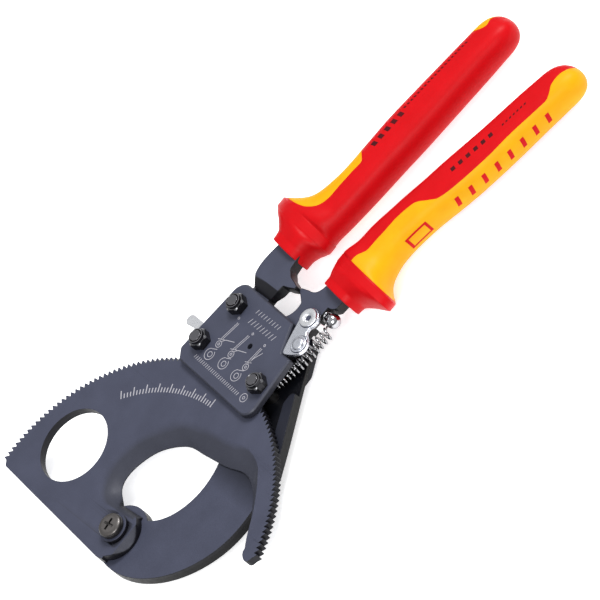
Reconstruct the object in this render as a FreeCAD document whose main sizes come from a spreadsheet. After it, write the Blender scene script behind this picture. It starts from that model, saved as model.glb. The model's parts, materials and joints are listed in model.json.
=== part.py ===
import FreeCAD, Part
import math
import os

import Sketcher
from FreeCAD import Vector

# Ratchet cable cutter with two insulated grips, 280 mm class, lying on its back.
# X runs across the tool and Y from the blades to the grips. The origin is on the blade
# pivot axis, on the surface that the tool lies on, with +Z up out of its front face.
# Heights named *_level count from the moving blade's front face; rest_lift brings them
# to the surface below.

SIZES = {
    "rest_lift": 15.5,
    # layers
    "moving_level": -3.9, "blade_thickness": 3.9,
    "fixed_level": -9.1, "fixed_thickness": 5.0, "web_depth": 2.9,
    "rear_plate_level": -12.1, "rear_plate_thickness": 3.0,
    "front_plate_level": 0.3, "front_plate_thickness": 3.2,
    "edge_break": 0.8,
    # toothed moving blade
    "tooth_tip_radius": 79.1, "tooth_root_radius": 77.3,
    "tooth_count": 94, "tooth_pitch_deg": 1.757, "first_root_deg": -94.486,
    "edge_land": 0.4, "eye_radius": 16.8, "eye_x": -50.7, "eye_y": 16.2,
    "boss_bevel_reach": 26.0,
    # pivot
    "bush_radius": 6.0, "blade_bore_radius": 6.05, "bush_bore_radius": 4.05,
    "bush_height": 9.05, "pivot_radius": 4.0, "thread_radius": 3.9,
    "washer_radius": 6.5, "washer_level": 0.1, "washer_thickness": 1.5,
    "screw_head_radius": 5.5, "screw_head_height": 3.3, "recess_width": 1.1,
    "recess_length": 5.6, "recess_depth": 1.6,
    "rear_washer_radius": 8.0, "rear_washer_thickness": 1.5,
    "pivot_nut_radius": 7.5, "pivot_nut_height": 4.85,
    # cover bolts, nuts and sleeves
    "bolt_radius": 2.5, "bolt_hole_radius": 2.55, "bolt_head_radius": 4.4,
    "bolt_head_height": 3.4, "bolt_end_level": 9.0, "bolt_socket_radius": 1.73,
    "nut_corner_radius": 4.62, "nut_hex_height": 4.0, "nut_collar_radius": 3.6,
    "nut_collar_height": 1.3, "sleeve_radius": 3.0,
    "upper_bolt_x": -21.9, "upper_bolt_y": 102.8,
    "left_bolt_x": -25.9, "left_bolt_y": 82.1,
    "right_bolt_x": 16.8, "right_bolt_y": 82.2,
    "dowel_radius": 2.0, "dowel_x": -19.0, "dowel_y": 93.8,
    # handles
    "shank_back_level": -2.9, "shank_thickness": 5.4,
    "tang_level": -4.1, "tang_thickness": 4.4,
    "moving_shank_level": -5.0, "moving_shank_thickness": 5.0,
    "moving_tang_relief": 1.1,
    "handle_pin_radius": 3.5, "handle_pin_bore_radius": 3.55,
    "handle_pin_x": 9.5, "handle_pin_y": 97.0, "handle_pin_blind": 2.0,
    "grip_skin": 2.0,
    # pawls
    "pawl_thickness": 3.6, "pawl_level": -3.75, "pawl_hub_radius": 4.6,
    "pawl_bore_radius": 3.05, "drive_pin_radius": 2.0, "drive_pin_bore_radius": 2.05,
    "drive_pin_length": 4.0, "drive_pin_x": -4.0, "drive_pin_y": 86.5, "lap_level": -1.95,
    "pawl_spring_thickness": 0.5, "pawl_spring_height": 2.4,
    # closing lock
    "lever_level": 1.4, "lever_thickness": 2.0, "lever_bore_radius": 2.05,
    "rivet_radius": 2.0, "rivet_flange_radius": 4.2, "rivet_flange_height": 0.9,
    "rivet_hole_radius": 1.2, "lever_pin_x": 14.6, "lever_pin_y": 116.2,
    "spacer_radius": 4.1, "stud_x": 19.7, "stud_y": 105.3, "stud_radius": 1.8,
    "stud_ring_radius": 3.75, "stud_ring_height": 0.6, "stud_dome_radius": 3.0,
    "stud_dome_height": 1.5, "stud_back_radius": 2.8, "stud_back_height": 0.9,
    # return spring of the handle and its ball stud
    "wire_radius": 0.5, "coil_radius": 2.45, "coil_pitch": 2.16, "coil_length": 29.16,
    "ball_radius": 3.25, "ball_x": 21.0, "ball_y": 121.5, "ball_level": -2.5,
    "neck_radius": 1.5, "neck_length": 7.0,
}

PAWL_TIP_RADIUS = 79.4          # a lifted pawl stands just clear of the tooth tips
RETAINING_TIP_DEG = -9.83
DRIVE_TIP_DEG = 6.0

doc = FreeCAD.newDocument("cable_cutter")
sheet = doc.addObject("Spreadsheet::Sheet", "Sizes")
for row, (alias, value) in enumerate(SIZES.items(), start=1):
    sheet.set(f"A{row}", alias)
    sheet.set(f"B{row}", str(value))
    sheet.setAlias(f"B{row}", alias)
doc.recompute()

exported = []


def cell(alias):
    """The expression that reads one cell of the sheet."""
    return f"Sizes.{alias}"


def level(alias, more=""):
    """The expression for the height of a named level above the surface below."""
    return f"Sizes.rest_lift + Sizes.{alias}{more}"


def point(x, y):
    return Vector(x, y, 0)


def polar(angle_deg, radius):
    """A point about the blade pivot; the angle runs clockwise from +Y."""
    angle = math.radians(angle_deg)
    return (radius * math.sin(angle), radius * math.cos(angle))


def place(thing, height=None, x=None, y=None):
    for axis, text in (("x", x), ("y", y), ("z", height)):
        if text is not None:
            thing.setExpression(f"Placement.Base.{axis}", text)


# ---------------------------------------------------------------- sketches and features

def new_body(name, height):
    body = doc.addObject("PartDesign::Body", name)
    body.Label = name
    place(body, height)
    return body


def new_sketch(body, name, height=None, plane="XY_Plane"):
    sketch = body.newObject("Sketcher::SketchObject", f"{body.Name}_{name}")
    origin_plane = [f for f in body.Origin.OriginFeatures if f.Role == plane][0]
    sketch.AttachmentSupport = [(origin_plane, "")]
    sketch.MapMode = "FlatFace"
    if height is not None:
        sketch.setExpression("AttachmentOffset.Base.z", height)
    return sketch


def draw(sketch, start, steps):
    """A closed outline of ("line", end), ("arc", middle, end) and ("curve", points)."""
    here = start
    for step in steps:
        end = step[1][-1] if step[0] == "curve" else step[-1]
        if step[0] == "line":
            edge = Part.LineSegment(point(*here), point(*end))
        elif step[0] == "arc":
            edge = Part.Arc(point(*here), point(*step[1]), point(*end))
        else:
            edge = Part.BSplineCurve()
            edge.interpolate([point(*p) for p in [here] + step[1]])
        sketch.addGeometry(edge, False)
        here = end
    if here != start:
        sketch.addGeometry(Part.LineSegment(point(*here), point(*start)), False)


def draw_rounded(sketch, corners):
    """A polygon whose (x, y, radius) corners are tangent arcs."""
    trims = []
    for number, (x, y, radius) in enumerate(corners):
        corner = point(x, y)
        after = corners[(number + 1) % len(corners)]
        back = (point(*corners[number - 1][:2]) - corner).normalize()
        ahead = (point(*after[:2]) - corner).normalize()
        half = back.getAngle(ahead) / 2
        reach = radius / math.tan(half)
        middle = corner + (back + ahead).normalize() * (radius / math.sin(half) - radius)
        trims.append((corner + back * reach, middle, corner + ahead * reach))
    for number, (enter, middle, leave) in enumerate(trims):
        sketch.addGeometry(Part.LineSegment(trims[number - 1][2], enter), False)
        if corners[number][2] > 0:
            sketch.addGeometry(Part.Arc(enter, middle, leave), False)


def draw_circle(sketch, x, y, alias):
    """A circle whose radius is bound to a cell of the sheet."""
    circle = Part.Circle(point(x, y), Vector(0, 0, 1), SIZES[alias])
    number = sketch.addGeometry(circle, False)
    rule = sketch.addConstraint(Sketcher.Constraint("Radius", number, SIZES[alias]))
    sketch.setExpression(f"Constraints[{rule}]", cell(alias))


def pad(body, sketch, length):
    feature = body.newObject("PartDesign::Pad", f"{sketch.Name}_pad")
    feature.Profile = sketch
    feature.setExpression("Length", length)
    sketch.Visibility = False
    return feature


def pocket(body, sketch, depth=None):
    """Cuts upwards from the sketch: right through, or to a depth."""
    feature = body.newObject("PartDesign::Pocket", f"{sketch.Name}_pocket")
    feature.Profile = sketch
    feature.Reversed = True
    if depth is None:
        feature.Type = "ThroughAll"
    else:
        feature.setExpression("Length", depth)
    return feature


def holes(body, name, places, depth=None, height=None):
    """One pocket of circles, each (x, y, radius alias)."""
    sketch = new_sketch(body, name, height)
    for x, y, alias in places:
        draw_circle(sketch, x, y, alias)
    return pocket(body, sketch, depth)


def chamfer_front(body, height, alias):
    """Breaks the outer edges of the face at this local height."""
    doc.recompute()
    base = body.Tip
    names = []
    for number, edge in enumerate(base.Shape.Edges, start=1):
        box = edge.BoundBox
        flat = box.ZLength < 1e-4 and abs(box.ZMax - height) < 1e-4
        if flat and edge.Length > 12:
            names.append(f"Edge{number}")
    feature = body.newObject("PartDesign::Chamfer", f"{body.Name}_edge_break")
    feature.Base = (base, names)
    feature.setExpression("Size", cell(alias))


def cylinder(name, radius, height, bottom, x=None, y=None):
    solid = doc.addObject("Part::Cylinder", name)
    solid.setExpression("Radius", radius)
    solid.setExpression("Height", height)
    place(solid, bottom, x, y)
    return solid


def fuse(name, pieces):
    joined = doc.addObject("Part::MultiFuse", name)
    joined.Shapes = pieces
    joined.Label = name
    return joined


def cut(name, base, tool):
    result = doc.addObject("Part::Cut", name)
    result.Base = base
    result.Tool = tool
    result.Label = name
    return result


def group(name, pieces):
    """Identical loose pieces that share one node."""
    together = doc.addObject("Part::Compound", name)
    together.Links = pieces
    together.Label = name
    return together


def keep(thing):
    exported.append(thing)
    return thing


# ---------------------------------------------------------------- blades

CUTTING_EDGE = [(-8.2, 9.5), (-16.0, 15.2), (-17.2, 24), (-12, 36), (-1, 44.6), (11, 46.4),
                (24, 48.0), (36, 50.6), (45.5, 47), (54, 38.8), (65.6, 26.6)]
BEVEL_BORDER = [(-6, 6.4), (-18, 4.4), (-28.5, 13), (-28.5, 30), (-20, 48), (-5, 56.5),
                (13, 58.3), (30, 58.9), (39.5, 57.4), (46, 52.8), (55.6, 42.1), (62.4, 31.9),
                (66.3, 26.8)]


def moving_blade():
    body = new_body("moving_blade", level("moving_level"))
    outline = new_sketch(body, "outline")
    pitch = SIZES["tooth_pitch_deg"]
    first = SIZES["first_root_deg"]
    tip = SIZES["tooth_tip_radius"]
    root = SIZES["tooth_root_radius"]
    steps = []
    for tooth in range(SIZES["tooth_count"]):
        angle = first + tooth * pitch
        steps.append(("line", polar(angle + 0.2 * pitch, tip)))
        steps.append(("line", polar(angle + 0.35 * pitch, tip)))
        steps.append(("line", polar(angle + pitch, root)))
    steps.append(("arc", (72.2, 23.5), (70.4, 22.8)))
    steps.append(("curve", [(67.9, 23.9), CUTTING_EDGE[-1]]))
    steps.append(("curve", CUTTING_EDGE[-2::-1]))
    steps.append(("line", (4.6, 10.6)))
    steps.append(("arc", (10.8, -0.6), (4.6, -12.8)))
    steps.append(("line", (1.5, -13.5)))
    steps.append(("line", (-75.2, -8.2)))
    draw(outline, polar(first, root), steps)
    pad(body, outline, cell("blade_thickness"))
    holes(body, "bores", [(0, 0, "blade_bore_radius"),
                          (SIZES["eye_x"], SIZES["eye_y"], "eye_radius")])

    # The hollow ground bevel falls from the front face to the land beside the edge.
    low = new_sketch(body, "edge", cell("edge_land"))
    draw(low, CUTTING_EDGE[0], [("curve", CUTTING_EDGE[1:]), ("line", (60, 14))])
    high = new_sketch(body, "border", cell("blade_thickness"))
    draw(high, BEVEL_BORDER[0], [("curve", BEVEL_BORDER[1:]), ("line", (60, 14))])
    doc.recompute()
    bevel = body.newObject("PartDesign::SubtractiveLoft", "moving_blade_bevel")
    bevel.Profile = low
    bevel.Sections = [high]
    bevel.Ruled = True

    # The boss is bevelled on the side that faces the cable.
    nose = new_sketch(body, "boss_bevel", plane="XZ_Plane")
    draw(nose, (9.0, 4.2), [("line", (7.6, 4.2)), ("line", (11.4, 0.4)), ("line", (16, 0.4)),
                            ("line", (16, 4.2))])
    side = body.newObject("PartDesign::Pocket", "moving_blade_boss_bevel")
    side.Profile = nose
    side.Midplane = True
    side.setExpression("Length", cell("boss_bevel_reach"))
    doc.recompute()
    return keep(body)


def fixed_blade():
    body = new_body("fixed_blade", level("fixed_level"))
    outline = new_sketch(body, "outline")
    draw(outline, (18.9, 47), [
        ("curve", [(20.9, 37), (18.4, 23), (12.6, 14.5), (7.4, 11.0)]),
        ("arc", (-13.2, 1.2), (2, -13.4)),
        ("curve", [(15.4, -13), (33.4, -4), (45.4, 10), (51.6, 27), (51, 45), (48, 58.5)]),
        ("curve", [(45, 63.4), (40.5, 70.6)]),
        ("line", (20.5, 101)),
        ("arc", (17.4, 105.6), (13, 107.6)),
        ("line", (5.5, 107.6)),
        ("line", (3.5, 105.6)),
        ("line", (3.5, 75)),
        ("curve", [(9, 63.5), (15.8, 55), (18.9, 47)]),
    ])
    pad(body, outline, cell("fixed_thickness"))
    holes(body, "bores", [
        (0, 0, "bush_radius"),
        (SIZES["right_bolt_x"], SIZES["right_bolt_y"], "bolt_hole_radius"),
        (SIZES["handle_pin_x"], SIZES["handle_pin_y"], "handle_pin_radius")])

    # A web set back behind the rim leaves room for the handle's return spring.
    web = new_sketch(body, "web", f"{cell('fixed_thickness')} - {cell('web_depth')}")
    draw_rounded(web, [(14.4, 112, 0), (14.4, 91, 3), (10.8, 86, 3), (10.8, 71, 3),
                       (24, 65.5, 6), (38.5, 62.6, 3), (26.3, 82.8, 4), (26.3, 88, 2),
                       (38, 92, 0), (30, 112, 0)])
    pocket(body, web)

    # The cutting edge is ground from the back, like the other half of a pair of shears.
    grind = new_sketch(body, "grind_low")
    draw(grind, (11.5, 62), [("curve", [(19, 53.5), (24.5, 45), (26.4, 36), (24, 21.5),
                                        (17.5, 11.8), (12, 7.6)]), ("line", (-2, 22))])
    edge = new_sketch(body, "grind_high", f"{cell('fixed_thickness')} - {cell('edge_land')}")
    draw(edge, (6.9, 62), [("curve", [(14.4, 54.5), (19.6, 45.5), (20.85, 36), (18.4, 23),
                                      (12.6, 14.5), (8.2, 11.5)]), ("line", (-6, 22))])
    doc.recompute()
    bevel = body.newObject("PartDesign::SubtractiveLoft", "fixed_blade_bevel")
    bevel.Profile = grind
    bevel.Sections = [edge]
    bevel.Ruled = True
    doc.recompute()
    return keep(body)


# ---------------------------------------------------------------- housing

BOLTS = ["upper_bolt", "left_bolt", "right_bolt"]


def bolt_place(bolt):
    return SIZES[f"{bolt}_x"], SIZES[f"{bolt}_y"]


def cover_plate(name, height, thickness, side_corners):
    body = new_body(name, height)
    outline = new_sketch(body, "outline")
    draw_rounded(outline, [(-30.6, 112.3, 6)] + side_corners + [
        (23.6, 67.8, 5.5), (-30.6, 70.4, 1.5), (-34.5, 74.7, 2)])
    pad(body, outline, thickness)
    holes(body, "bolt_holes", [bolt_place(bolt) + ("bolt_hole_radius",) for bolt in BOLTS])
    return body


def front_cover_plate():
    ledge = [(9, 110.8, 1), (15.2, 98.2, 0.5), (21.4, 98.2, 1)]
    body = cover_plate("front_cover_plate", level("front_plate_level"),
                       cell("front_plate_thickness"), ledge)
    holes(body, "peep_hole", [(-2.0, 92.5, "rivet_hole_radius")])
    holes(body, "pin_seat", [(SIZES["handle_pin_x"], SIZES["handle_pin_y"],
                              "handle_pin_radius")], cell("handle_pin_blind"))
    chamfer_front(body, SIZES["front_plate_thickness"], "edge_break")
    return keep(body)


def rear_cover_plate():
    corner = [(14, 110.6, 4), (22, 98.2, 3)]
    body = cover_plate("rear_cover_plate", level("rear_plate_level"),
                       cell("rear_plate_thickness"), corner)
    holes(body, "pin_seat", [(SIZES["handle_pin_x"], SIZES["handle_pin_y"],
                              "handle_pin_radius")])
    return keep(body)


def spacer_block():
    body = new_body("spacer_block", level("fixed_level"))
    outline = new_sketch(body, "outline")
    draw_rounded(outline, [(-29.2, 111, 5), (1.6, 109.8, 1), (1.6, 72.5, 3),
                           (-29.4, 73.6, 2), (-32.4, 77, 2)])
    pad(body, outline, cell("fixed_thickness"))
    window = new_sketch(body, "window")
    draw_rounded(window, [(-14.5, 104, 3), (-4.5, 104, 3), (-4.5, 80, 3), (-14.5, 80, 3)])
    pocket(body, window)
    holes(body, "bores", [bolt_place("upper_bolt") + ("bolt_hole_radius",),
                          bolt_place("left_bolt") + ("bolt_hole_radius",),
                          (SIZES["dowel_x"], SIZES["dowel_y"], "dowel_radius")])
    return keep(body)


def cover_bolts():
    bolts = []
    for bolt in BOLTS:
        spot = {"x": cell(f"{bolt}_x"), "y": cell(f"{bolt}_y")}
        under = level("rear_plate_level", f" - {cell('bolt_head_height')}")
        head = cylinder(f"{bolt}_head", cell("bolt_head_radius"), cell("bolt_head_height"),
                        under, **spot)
        reach = f"{cell('bolt_end_level')} - {cell('rear_plate_level')}"
        stem = cylinder(f"{bolt}_stem", cell("bolt_radius"), reach,
                        level("rear_plate_level"), **spot)
        socket = doc.addObject("Part::Prism", f"{bolt}_socket")
        socket.Polygon = 6
        socket.setExpression("Circumradius", cell("bolt_socket_radius"))
        socket.setExpression("Height", f"{cell('bolt_head_height')} / 2")
        place(socket, under, **spot)
        bolts.append(cut(f"{bolt}_screw", fuse(f"{bolt}_solid", [head, stem]), socket))
    return keep(group("cover_bolts", bolts))


def cover_nuts():
    nuts = []
    for bolt in BOLTS:
        spot = {"x": cell(f"{bolt}_x"), "y": cell(f"{bolt}_y")}
        seat = level("front_plate_level", f" + {cell('front_plate_thickness')}")
        hexagon = doc.addObject("Part::Prism", f"{bolt}_nut_hex")
        hexagon.Polygon = 6
        hexagon.setExpression("Circumradius", cell("nut_corner_radius"))
        hexagon.setExpression("Height", cell("nut_hex_height"))
        place(hexagon, seat, **spot)
        collar = cylinder(f"{bolt}_nut_collar", cell("nut_collar_radius"),
                          f"{cell('nut_hex_height')} + {cell('nut_collar_height')}",
                          seat, **spot)
        bore = cylinder(f"{bolt}_nut_bore", cell("bolt_hole_radius"),
                        f"{cell('nut_hex_height')} * 2", seat, **spot)
        nuts.append(cut(f"{bolt}_nut", fuse(f"{bolt}_nut_solid", [hexagon, collar]), bore))
    return keep(group("cover_nuts", nuts))


def bolt_sleeves():
    """The right sleeve anchors the spring; the retaining pawl turns on the left one."""
    sleeves = []
    web = f"{cell('fixed_level')} + {cell('fixed_thickness')} - {cell('web_depth')}"
    bottoms = {"left_bolt": cell("tang_level"), "right_bolt": web}
    for bolt, bottom in bottoms.items():
        spot = {"x": cell(f"{bolt}_x"), "y": cell(f"{bolt}_y")}
        reach = f"{cell('front_plate_level')} - ({bottom})"
        foot = f"{cell('rest_lift')} + {bottom}"
        tube = cylinder(f"{bolt}_tube", cell("sleeve_radius"), reach, foot, **spot)
        bore = cylinder(f"{bolt}_tube_bore", cell("bolt_hole_radius"), reach, foot, **spot)
        sleeves.append(cut(f"{bolt}_sleeve", tube, bore))
    return keep(group("bolt_sleeves", sleeves))


# ---------------------------------------------------------------- blade pivot

def ring(name, outer, inner, height, bottom):
    disc = cylinder(f"{name}_disc", outer, height, bottom)
    hole = cylinder(f"{name}_hole", inner, height, bottom)
    return keep(cut(name, disc, hole))


def pivot_pieces():
    ring("pivot_bush", cell("bush_radius"), cell("bush_bore_radius"), cell("bush_height"),
         level("fixed_level"))
    ring("pivot_front_washer", cell("washer_radius"), cell("bush_bore_radius"),
         cell("washer_thickness"), level("washer_level"))
    ring("pivot_rear_washer", cell("rear_washer_radius"), cell("bush_bore_radius"),
         cell("rear_washer_thickness"),
         level("fixed_level", f" - {cell('rear_washer_thickness')}"))

    nut = doc.addObject("Part::Prism", "pivot_nut_hex")
    nut.Polygon = 6
    nut.setExpression("Circumradius", cell("pivot_nut_radius"))
    nut.setExpression("Height", cell("pivot_nut_height"))
    bore = cylinder("pivot_nut_bore", cell("thread_radius"), cell("pivot_nut_height"), "0")
    keep(cut("pivot_lock_nut", nut, bore))


def pivot_screw():
    seat = f"{cell('washer_level')} + {cell('washer_thickness')}"
    head = cylinder("pivot_head", cell("screw_head_radius"), cell("screw_head_height"),
                    f"{cell('rest_lift')} + {seat}")
    stem = cylinder("pivot_stem", cell("pivot_radius"),
                    f"{seat} - {cell('fixed_level')} + {cell('rear_washer_thickness')}",
                    level("fixed_level", f" - {cell('rear_washer_thickness')}"))
    thread = cylinder("pivot_thread", cell("thread_radius"), cell("rest_lift"), "0")
    bars = []
    for turn in (0, 90):
        bar = doc.addObject("Part::Box", f"pivot_recess_{turn}")
        bar.setExpression("Length", cell("recess_length"))
        bar.setExpression("Width", cell("recess_width"))
        bar.setExpression("Height", cell("recess_depth"))
        long_half = SIZES["recess_length"] / 2
        wide_half = SIZES["recess_width"] / 2
        offset = Vector(-long_half, -wide_half, 0)
        rotation = FreeCAD.Rotation(Vector(0, 0, 1), turn)
        bar.Placement = FreeCAD.Placement(rotation.multVec(offset), rotation)
        place(bar, f"{cell('rest_lift')} + {seat} + {cell('screw_head_height')}"
                   f" - {cell('recess_depth')}")
        bars.append(bar)
    solid = fuse("pivot_screw_solid", [head, stem, thread])
    return keep(cut("pivot_screw", solid, fuse("pivot_recess", bars)))


# ---------------------------------------------------------------- handles

FIXED_SHANK = [(-12.9, 112.6), (-10.6, 117.2), (-10.2, 120.2), (-7.2, 120.9), (-3.75, 122.2),
               (-3.75, 123.6), (-6.4, 124.4), (-9.8, 125.2), (-13.0, 127.6), (-13.4, 131),
               (-14.2, 140), (-11.4, 160), (-3.6, 238), (-13.4, 240), (-22.6, 160),
               (-26.6, 140), (-28.5, 130), (-29.1, 122), (-27.6, 116.4), (-24.3, 112.4)]


def fixed_handle_shank():
    body = new_body("fixed_handle_shank", level("shank_back_level"))
    outline = new_sketch(body, "outline")
    draw(outline, FIXED_SHANK[-1], [("line", corner) for corner in FIXED_SHANK[:15]]
         + [("curve", FIXED_SHANK[15:])])
    pad(body, outline, cell("shank_thickness"))

    # The tang is forged down into the housing, on the spacer block and under the cover.
    drop = f"{cell('tang_level')} - {cell('shank_back_level')}"
    tang = new_sketch(body, "tang", drop)
    draw_rounded(tang, [(-24.4, 118, 1), (-13.6, 118, 1), (-13.6, 91, 1.5), (-24.6, 89.9, 1.5),
                        (-27.4, 93, 2), (-27.4, 106, 4)])
    pad(body, tang, cell("tang_thickness"))
    slope = new_sketch(body, "slope", plane="YZ_Plane")
    draw(slope, (117.4, 6), [("line", (117.4, 5.4)), ("line", (112.2, 3.2)),
                             ("line", (105, 3.2)), ("line", (105, 6))])
    step = body.newObject("PartDesign::Pocket", "fixed_handle_shank_slope")
    step.Profile = slope
    step.Type = "ThroughAll"
    step.Midplane = True
    holes(body, "bores", [bolt_place("upper_bolt") + ("bolt_hole_radius",),
                          (SIZES["dowel_x"], SIZES["dowel_y"], "dowel_radius")],
          height=drop)
    doc.recompute()
    return keep(body)


def fixed_handle_dowel():
    reach = f"{cell('front_plate_level')} - {cell('fixed_level')}"
    dowel = cylinder("fixed_handle_dowel", cell("dowel_radius"), reach, level("fixed_level"),
                     cell("dowel_x"), cell("dowel_y"))
    dowel.Label = "fixed_handle_dowel"
    return keep(dowel)


def moving_handle_shank():
    body = new_body("moving_handle_shank", level("moving_shank_level"))
    outline = new_sketch(body, "outline")
    draw(outline, (-0.5, 111.2), [
        ("curve", [(1.5, 114.5), (1.6, 119.4)]),
        ("line", (-0.5, 120.9)),
        ("line", (-3.5, 122.9)),
        ("line", (-3.5, 124.4)),
        ("line", (0.6, 125.4)),
        ("curve", [(4.2, 126.4), (6.9, 131.2)]),
        ("line", (8.6, 138)),
        ("line", (13.4, 160)),
        ("line", (31.2, 240)),
        ("line", (41, 240)),
        ("line", (23.4, 160)),
        ("line", (21.6, 138)),
        ("line", (20.4, 126.4)),
        ("curve", [(18.6, 124.9), (16, 124.4)]),
        ("line", (16, 108)),
        ("curve", [(15.4, 101), (14.9, 94.6)]),
        ("curve", [(9.3, 90.7), (3.6, 89.4), (0.4, 86.4)]),
        ("arc", (-3.0, 82.1), (-8.3, 86.4)),
        ("line", (-6.6, 91.4)),
        ("curve", [(-3.4, 96), (-3.0, 104)]),
    ])
    pad(body, outline, cell("moving_shank_thickness"))
    holes(body, "bores", [
        (SIZES["handle_pin_x"], SIZES["handle_pin_y"], "handle_pin_bore_radius"),
        (SIZES["drive_pin_x"], SIZES["drive_pin_y"], "drive_pin_radius"),
        (SIZES["lever_pin_x"], SIZES["lever_pin_y"], "rivet_radius")])

    # The part inside the housing is relieved at the back to clear the fixed blade.
    relief = new_sketch(body, "relief")
    draw_rounded(relief, [(-20, 112, 0), (40, 112, 0), (40, 75, 0), (-20, 75, 0)])
    pocket(body, relief, cell("moving_tang_relief"))

    # The lug is halved at the front to take the drive pawl's hub.
    lap = new_sketch(body, "lap", f"{cell('lap_level')} - {cell('moving_shank_level')}")
    draw_rounded(lap, [(-12, 94.5, 0), (-2.6, 93.2, 2), (3.4, 91.2, 1.5), (3.4, 78, 0),
                       (-12, 78, 0)])
    pocket(body, lap)
    seat = new_sketch(body, "stud_seat", plane="YZ_Plane")
    draw_circle(seat, SIZES["ball_y"], SIZES["ball_level"] - SIZES["moving_shank_level"],
                "neck_radius")
    seat.setExpression("AttachmentOffset.Base.z",
                       f"{cell('ball_x')} - {cell('neck_length')}")
    pocket(body, seat)
    doc.recompute()
    return keep(body)


def handle_pivot_pin():
    reach = (f"{cell('front_plate_level')} + {cell('handle_pin_blind')}"
             f" - {cell('rear_plate_level')}")
    pin = cylinder("handle_pivot_pin", cell("handle_pin_radius"), reach,
                   level("rear_plate_level"), cell("handle_pin_x"), cell("handle_pin_y"))
    pin.Label = "handle_pivot_pin"
    return keep(pin)


# Each station of a grip is (y, centre x, half width, half thickness).
MOVING_STATIONS = [(130.6, 16.3, 9.9, 8.0), (134.5, 17.0, 10.6, 8.3), (138, 19.5, 14.4, 10),
                   (140.2, 22.1, 19.0, 12.9), (144.2, 22.1, 19.0, 12.9), (147, 19.3, 15, 9.6),
                   (151, 18.2, 12.6, 8.7), (158, 17.8, 11, 8.4), (175, 20.6, 10.2, 8.35),
                   (190, 24.85, 10.7, 8.35), (200, 27.45, 11.1, 8.35), (220, 32.3, 10.5, 8.3),
                   (240, 36.4, 9.9, 8.2), (250, 38.65, 9.7, 7.9), (257.5, 40.4, 8.3, 6.9),
                   (262.5, 41.6, 4.2, 3.6)]
FIXED_STATIONS = [(132.2, -22.8, 9.7, 8.0), (136, -22.8, 11.2, 8.3), (140, -23.8, 14.2, 9.8),
                  (143.6, -25.7, 19.2, 13.4), (148, -25.7, 19.2, 13.4), (150.5, -22.6, 15.5, 9.8),
                  (154.5, -19.4, 12.4, 8.8), (160, -17.5, 11, 8.4), (175, -15.1, 10.2, 8.35),
                  (190, -14.1, 10.7, 8.35), (200, -13.3, 11.1, 8.35), (220, -11, 10.6, 8.3),
                  (240, -8.5, 9.9, 8.2), (250, -7.4, 9.6, 7.9), (258, -6.4, 8.2, 6.9),
                  (263.4, -5.6, 4.2, 3.6)]
MOVING_PAD = [(8, 149.6), (18.6, 153), (18.9, 162), (20, 171), (21.5, 179), (27.5, 182.6),
              (31.2, 188), (34, 200), (38.2, 217), (42.7, 242), (41.6, 246.5), (40.2, 251),
              (39.4, 264), (70, 264), (60, 149.6)]
FIXED_PAD = [(-8, 152.6), (-19.4, 155), (-19.4, 162), (-18.6, 171), (-17.4, 181),
             (-20.5, 185), (-22.4, 190), (-22.0, 200), (-19.2, 220), (-16.4, 242),
             (-12.5, 247), (-8.6, 251), (-7.6, 265), (-60, 265), (-60, 152.6)]


def grip_form(name, stations, height, inset):
    """A loft along the grip through rounded sections."""
    body = new_body(name, height)
    profiles = []
    for number, (y, centre, width, thickness) in enumerate(stations):
        sketch = new_sketch(body, f"section_{number}", plane="XZ_Plane")
        sketch.AttachmentOffset = FreeCAD.Placement(Vector(0, 0, -y), FreeCAD.Rotation())
        ring_points = []
        for step in range(16):
            turn = math.radians(22.5 * step)
            across = math.copysign(abs(math.cos(turn)) ** 0.9, math.cos(turn))
            up = math.copysign(abs(math.sin(turn)) ** 0.9, math.sin(turn))
            ring_points.append(point(centre + (width - inset) * across,
                                     (thickness - inset) * up))
        curve = Part.BSplineCurve()
        curve.interpolate(ring_points, PeriodicFlag=True)
        sketch.addGeometry(curve, False)
        profiles.append(sketch)
    doc.recompute()
    loft = body.newObject("PartDesign::AdditiveLoft", f"{name}_loft")
    loft.Profile = profiles[0]
    loft.Sections = profiles[1:]
    loft.Ruled = True
    doc.recompute()
    return body


def grip(side, stations, pad_outline, centre_level, shank):
    """Red core moulded over the shank, with a yellow pad let into its outer side."""
    height = f"{cell('rest_lift')} + ({centre_level})"
    form = grip_form(f"{side}_grip_form", stations, height, 0)
    core = grip_form(f"{side}_grip_core_form", stations, height, SIZES["grip_skin"])
    zone = new_body(f"{side}_grip_zone", "0")
    outline = new_sketch(zone, "outline")
    draw_rounded(outline, [(x, y, 0.4) for x, y in pad_outline])
    pad(zone, outline, f"{cell('rest_lift')} * 3")
    doc.recompute()
    inside = doc.addObject("Part::Common", f"{side}_grip_side")
    inside.Base = form
    inside.Tool = zone
    soft = keep(cut(f"{side}_grip_pad", inside, core))
    hollow = cut(f"{side}_grip_hollow", form, soft)
    return soft, keep(cut(f"{side}_grip_core", hollow, shank))


# ---------------------------------------------------------------- pawls

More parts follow.
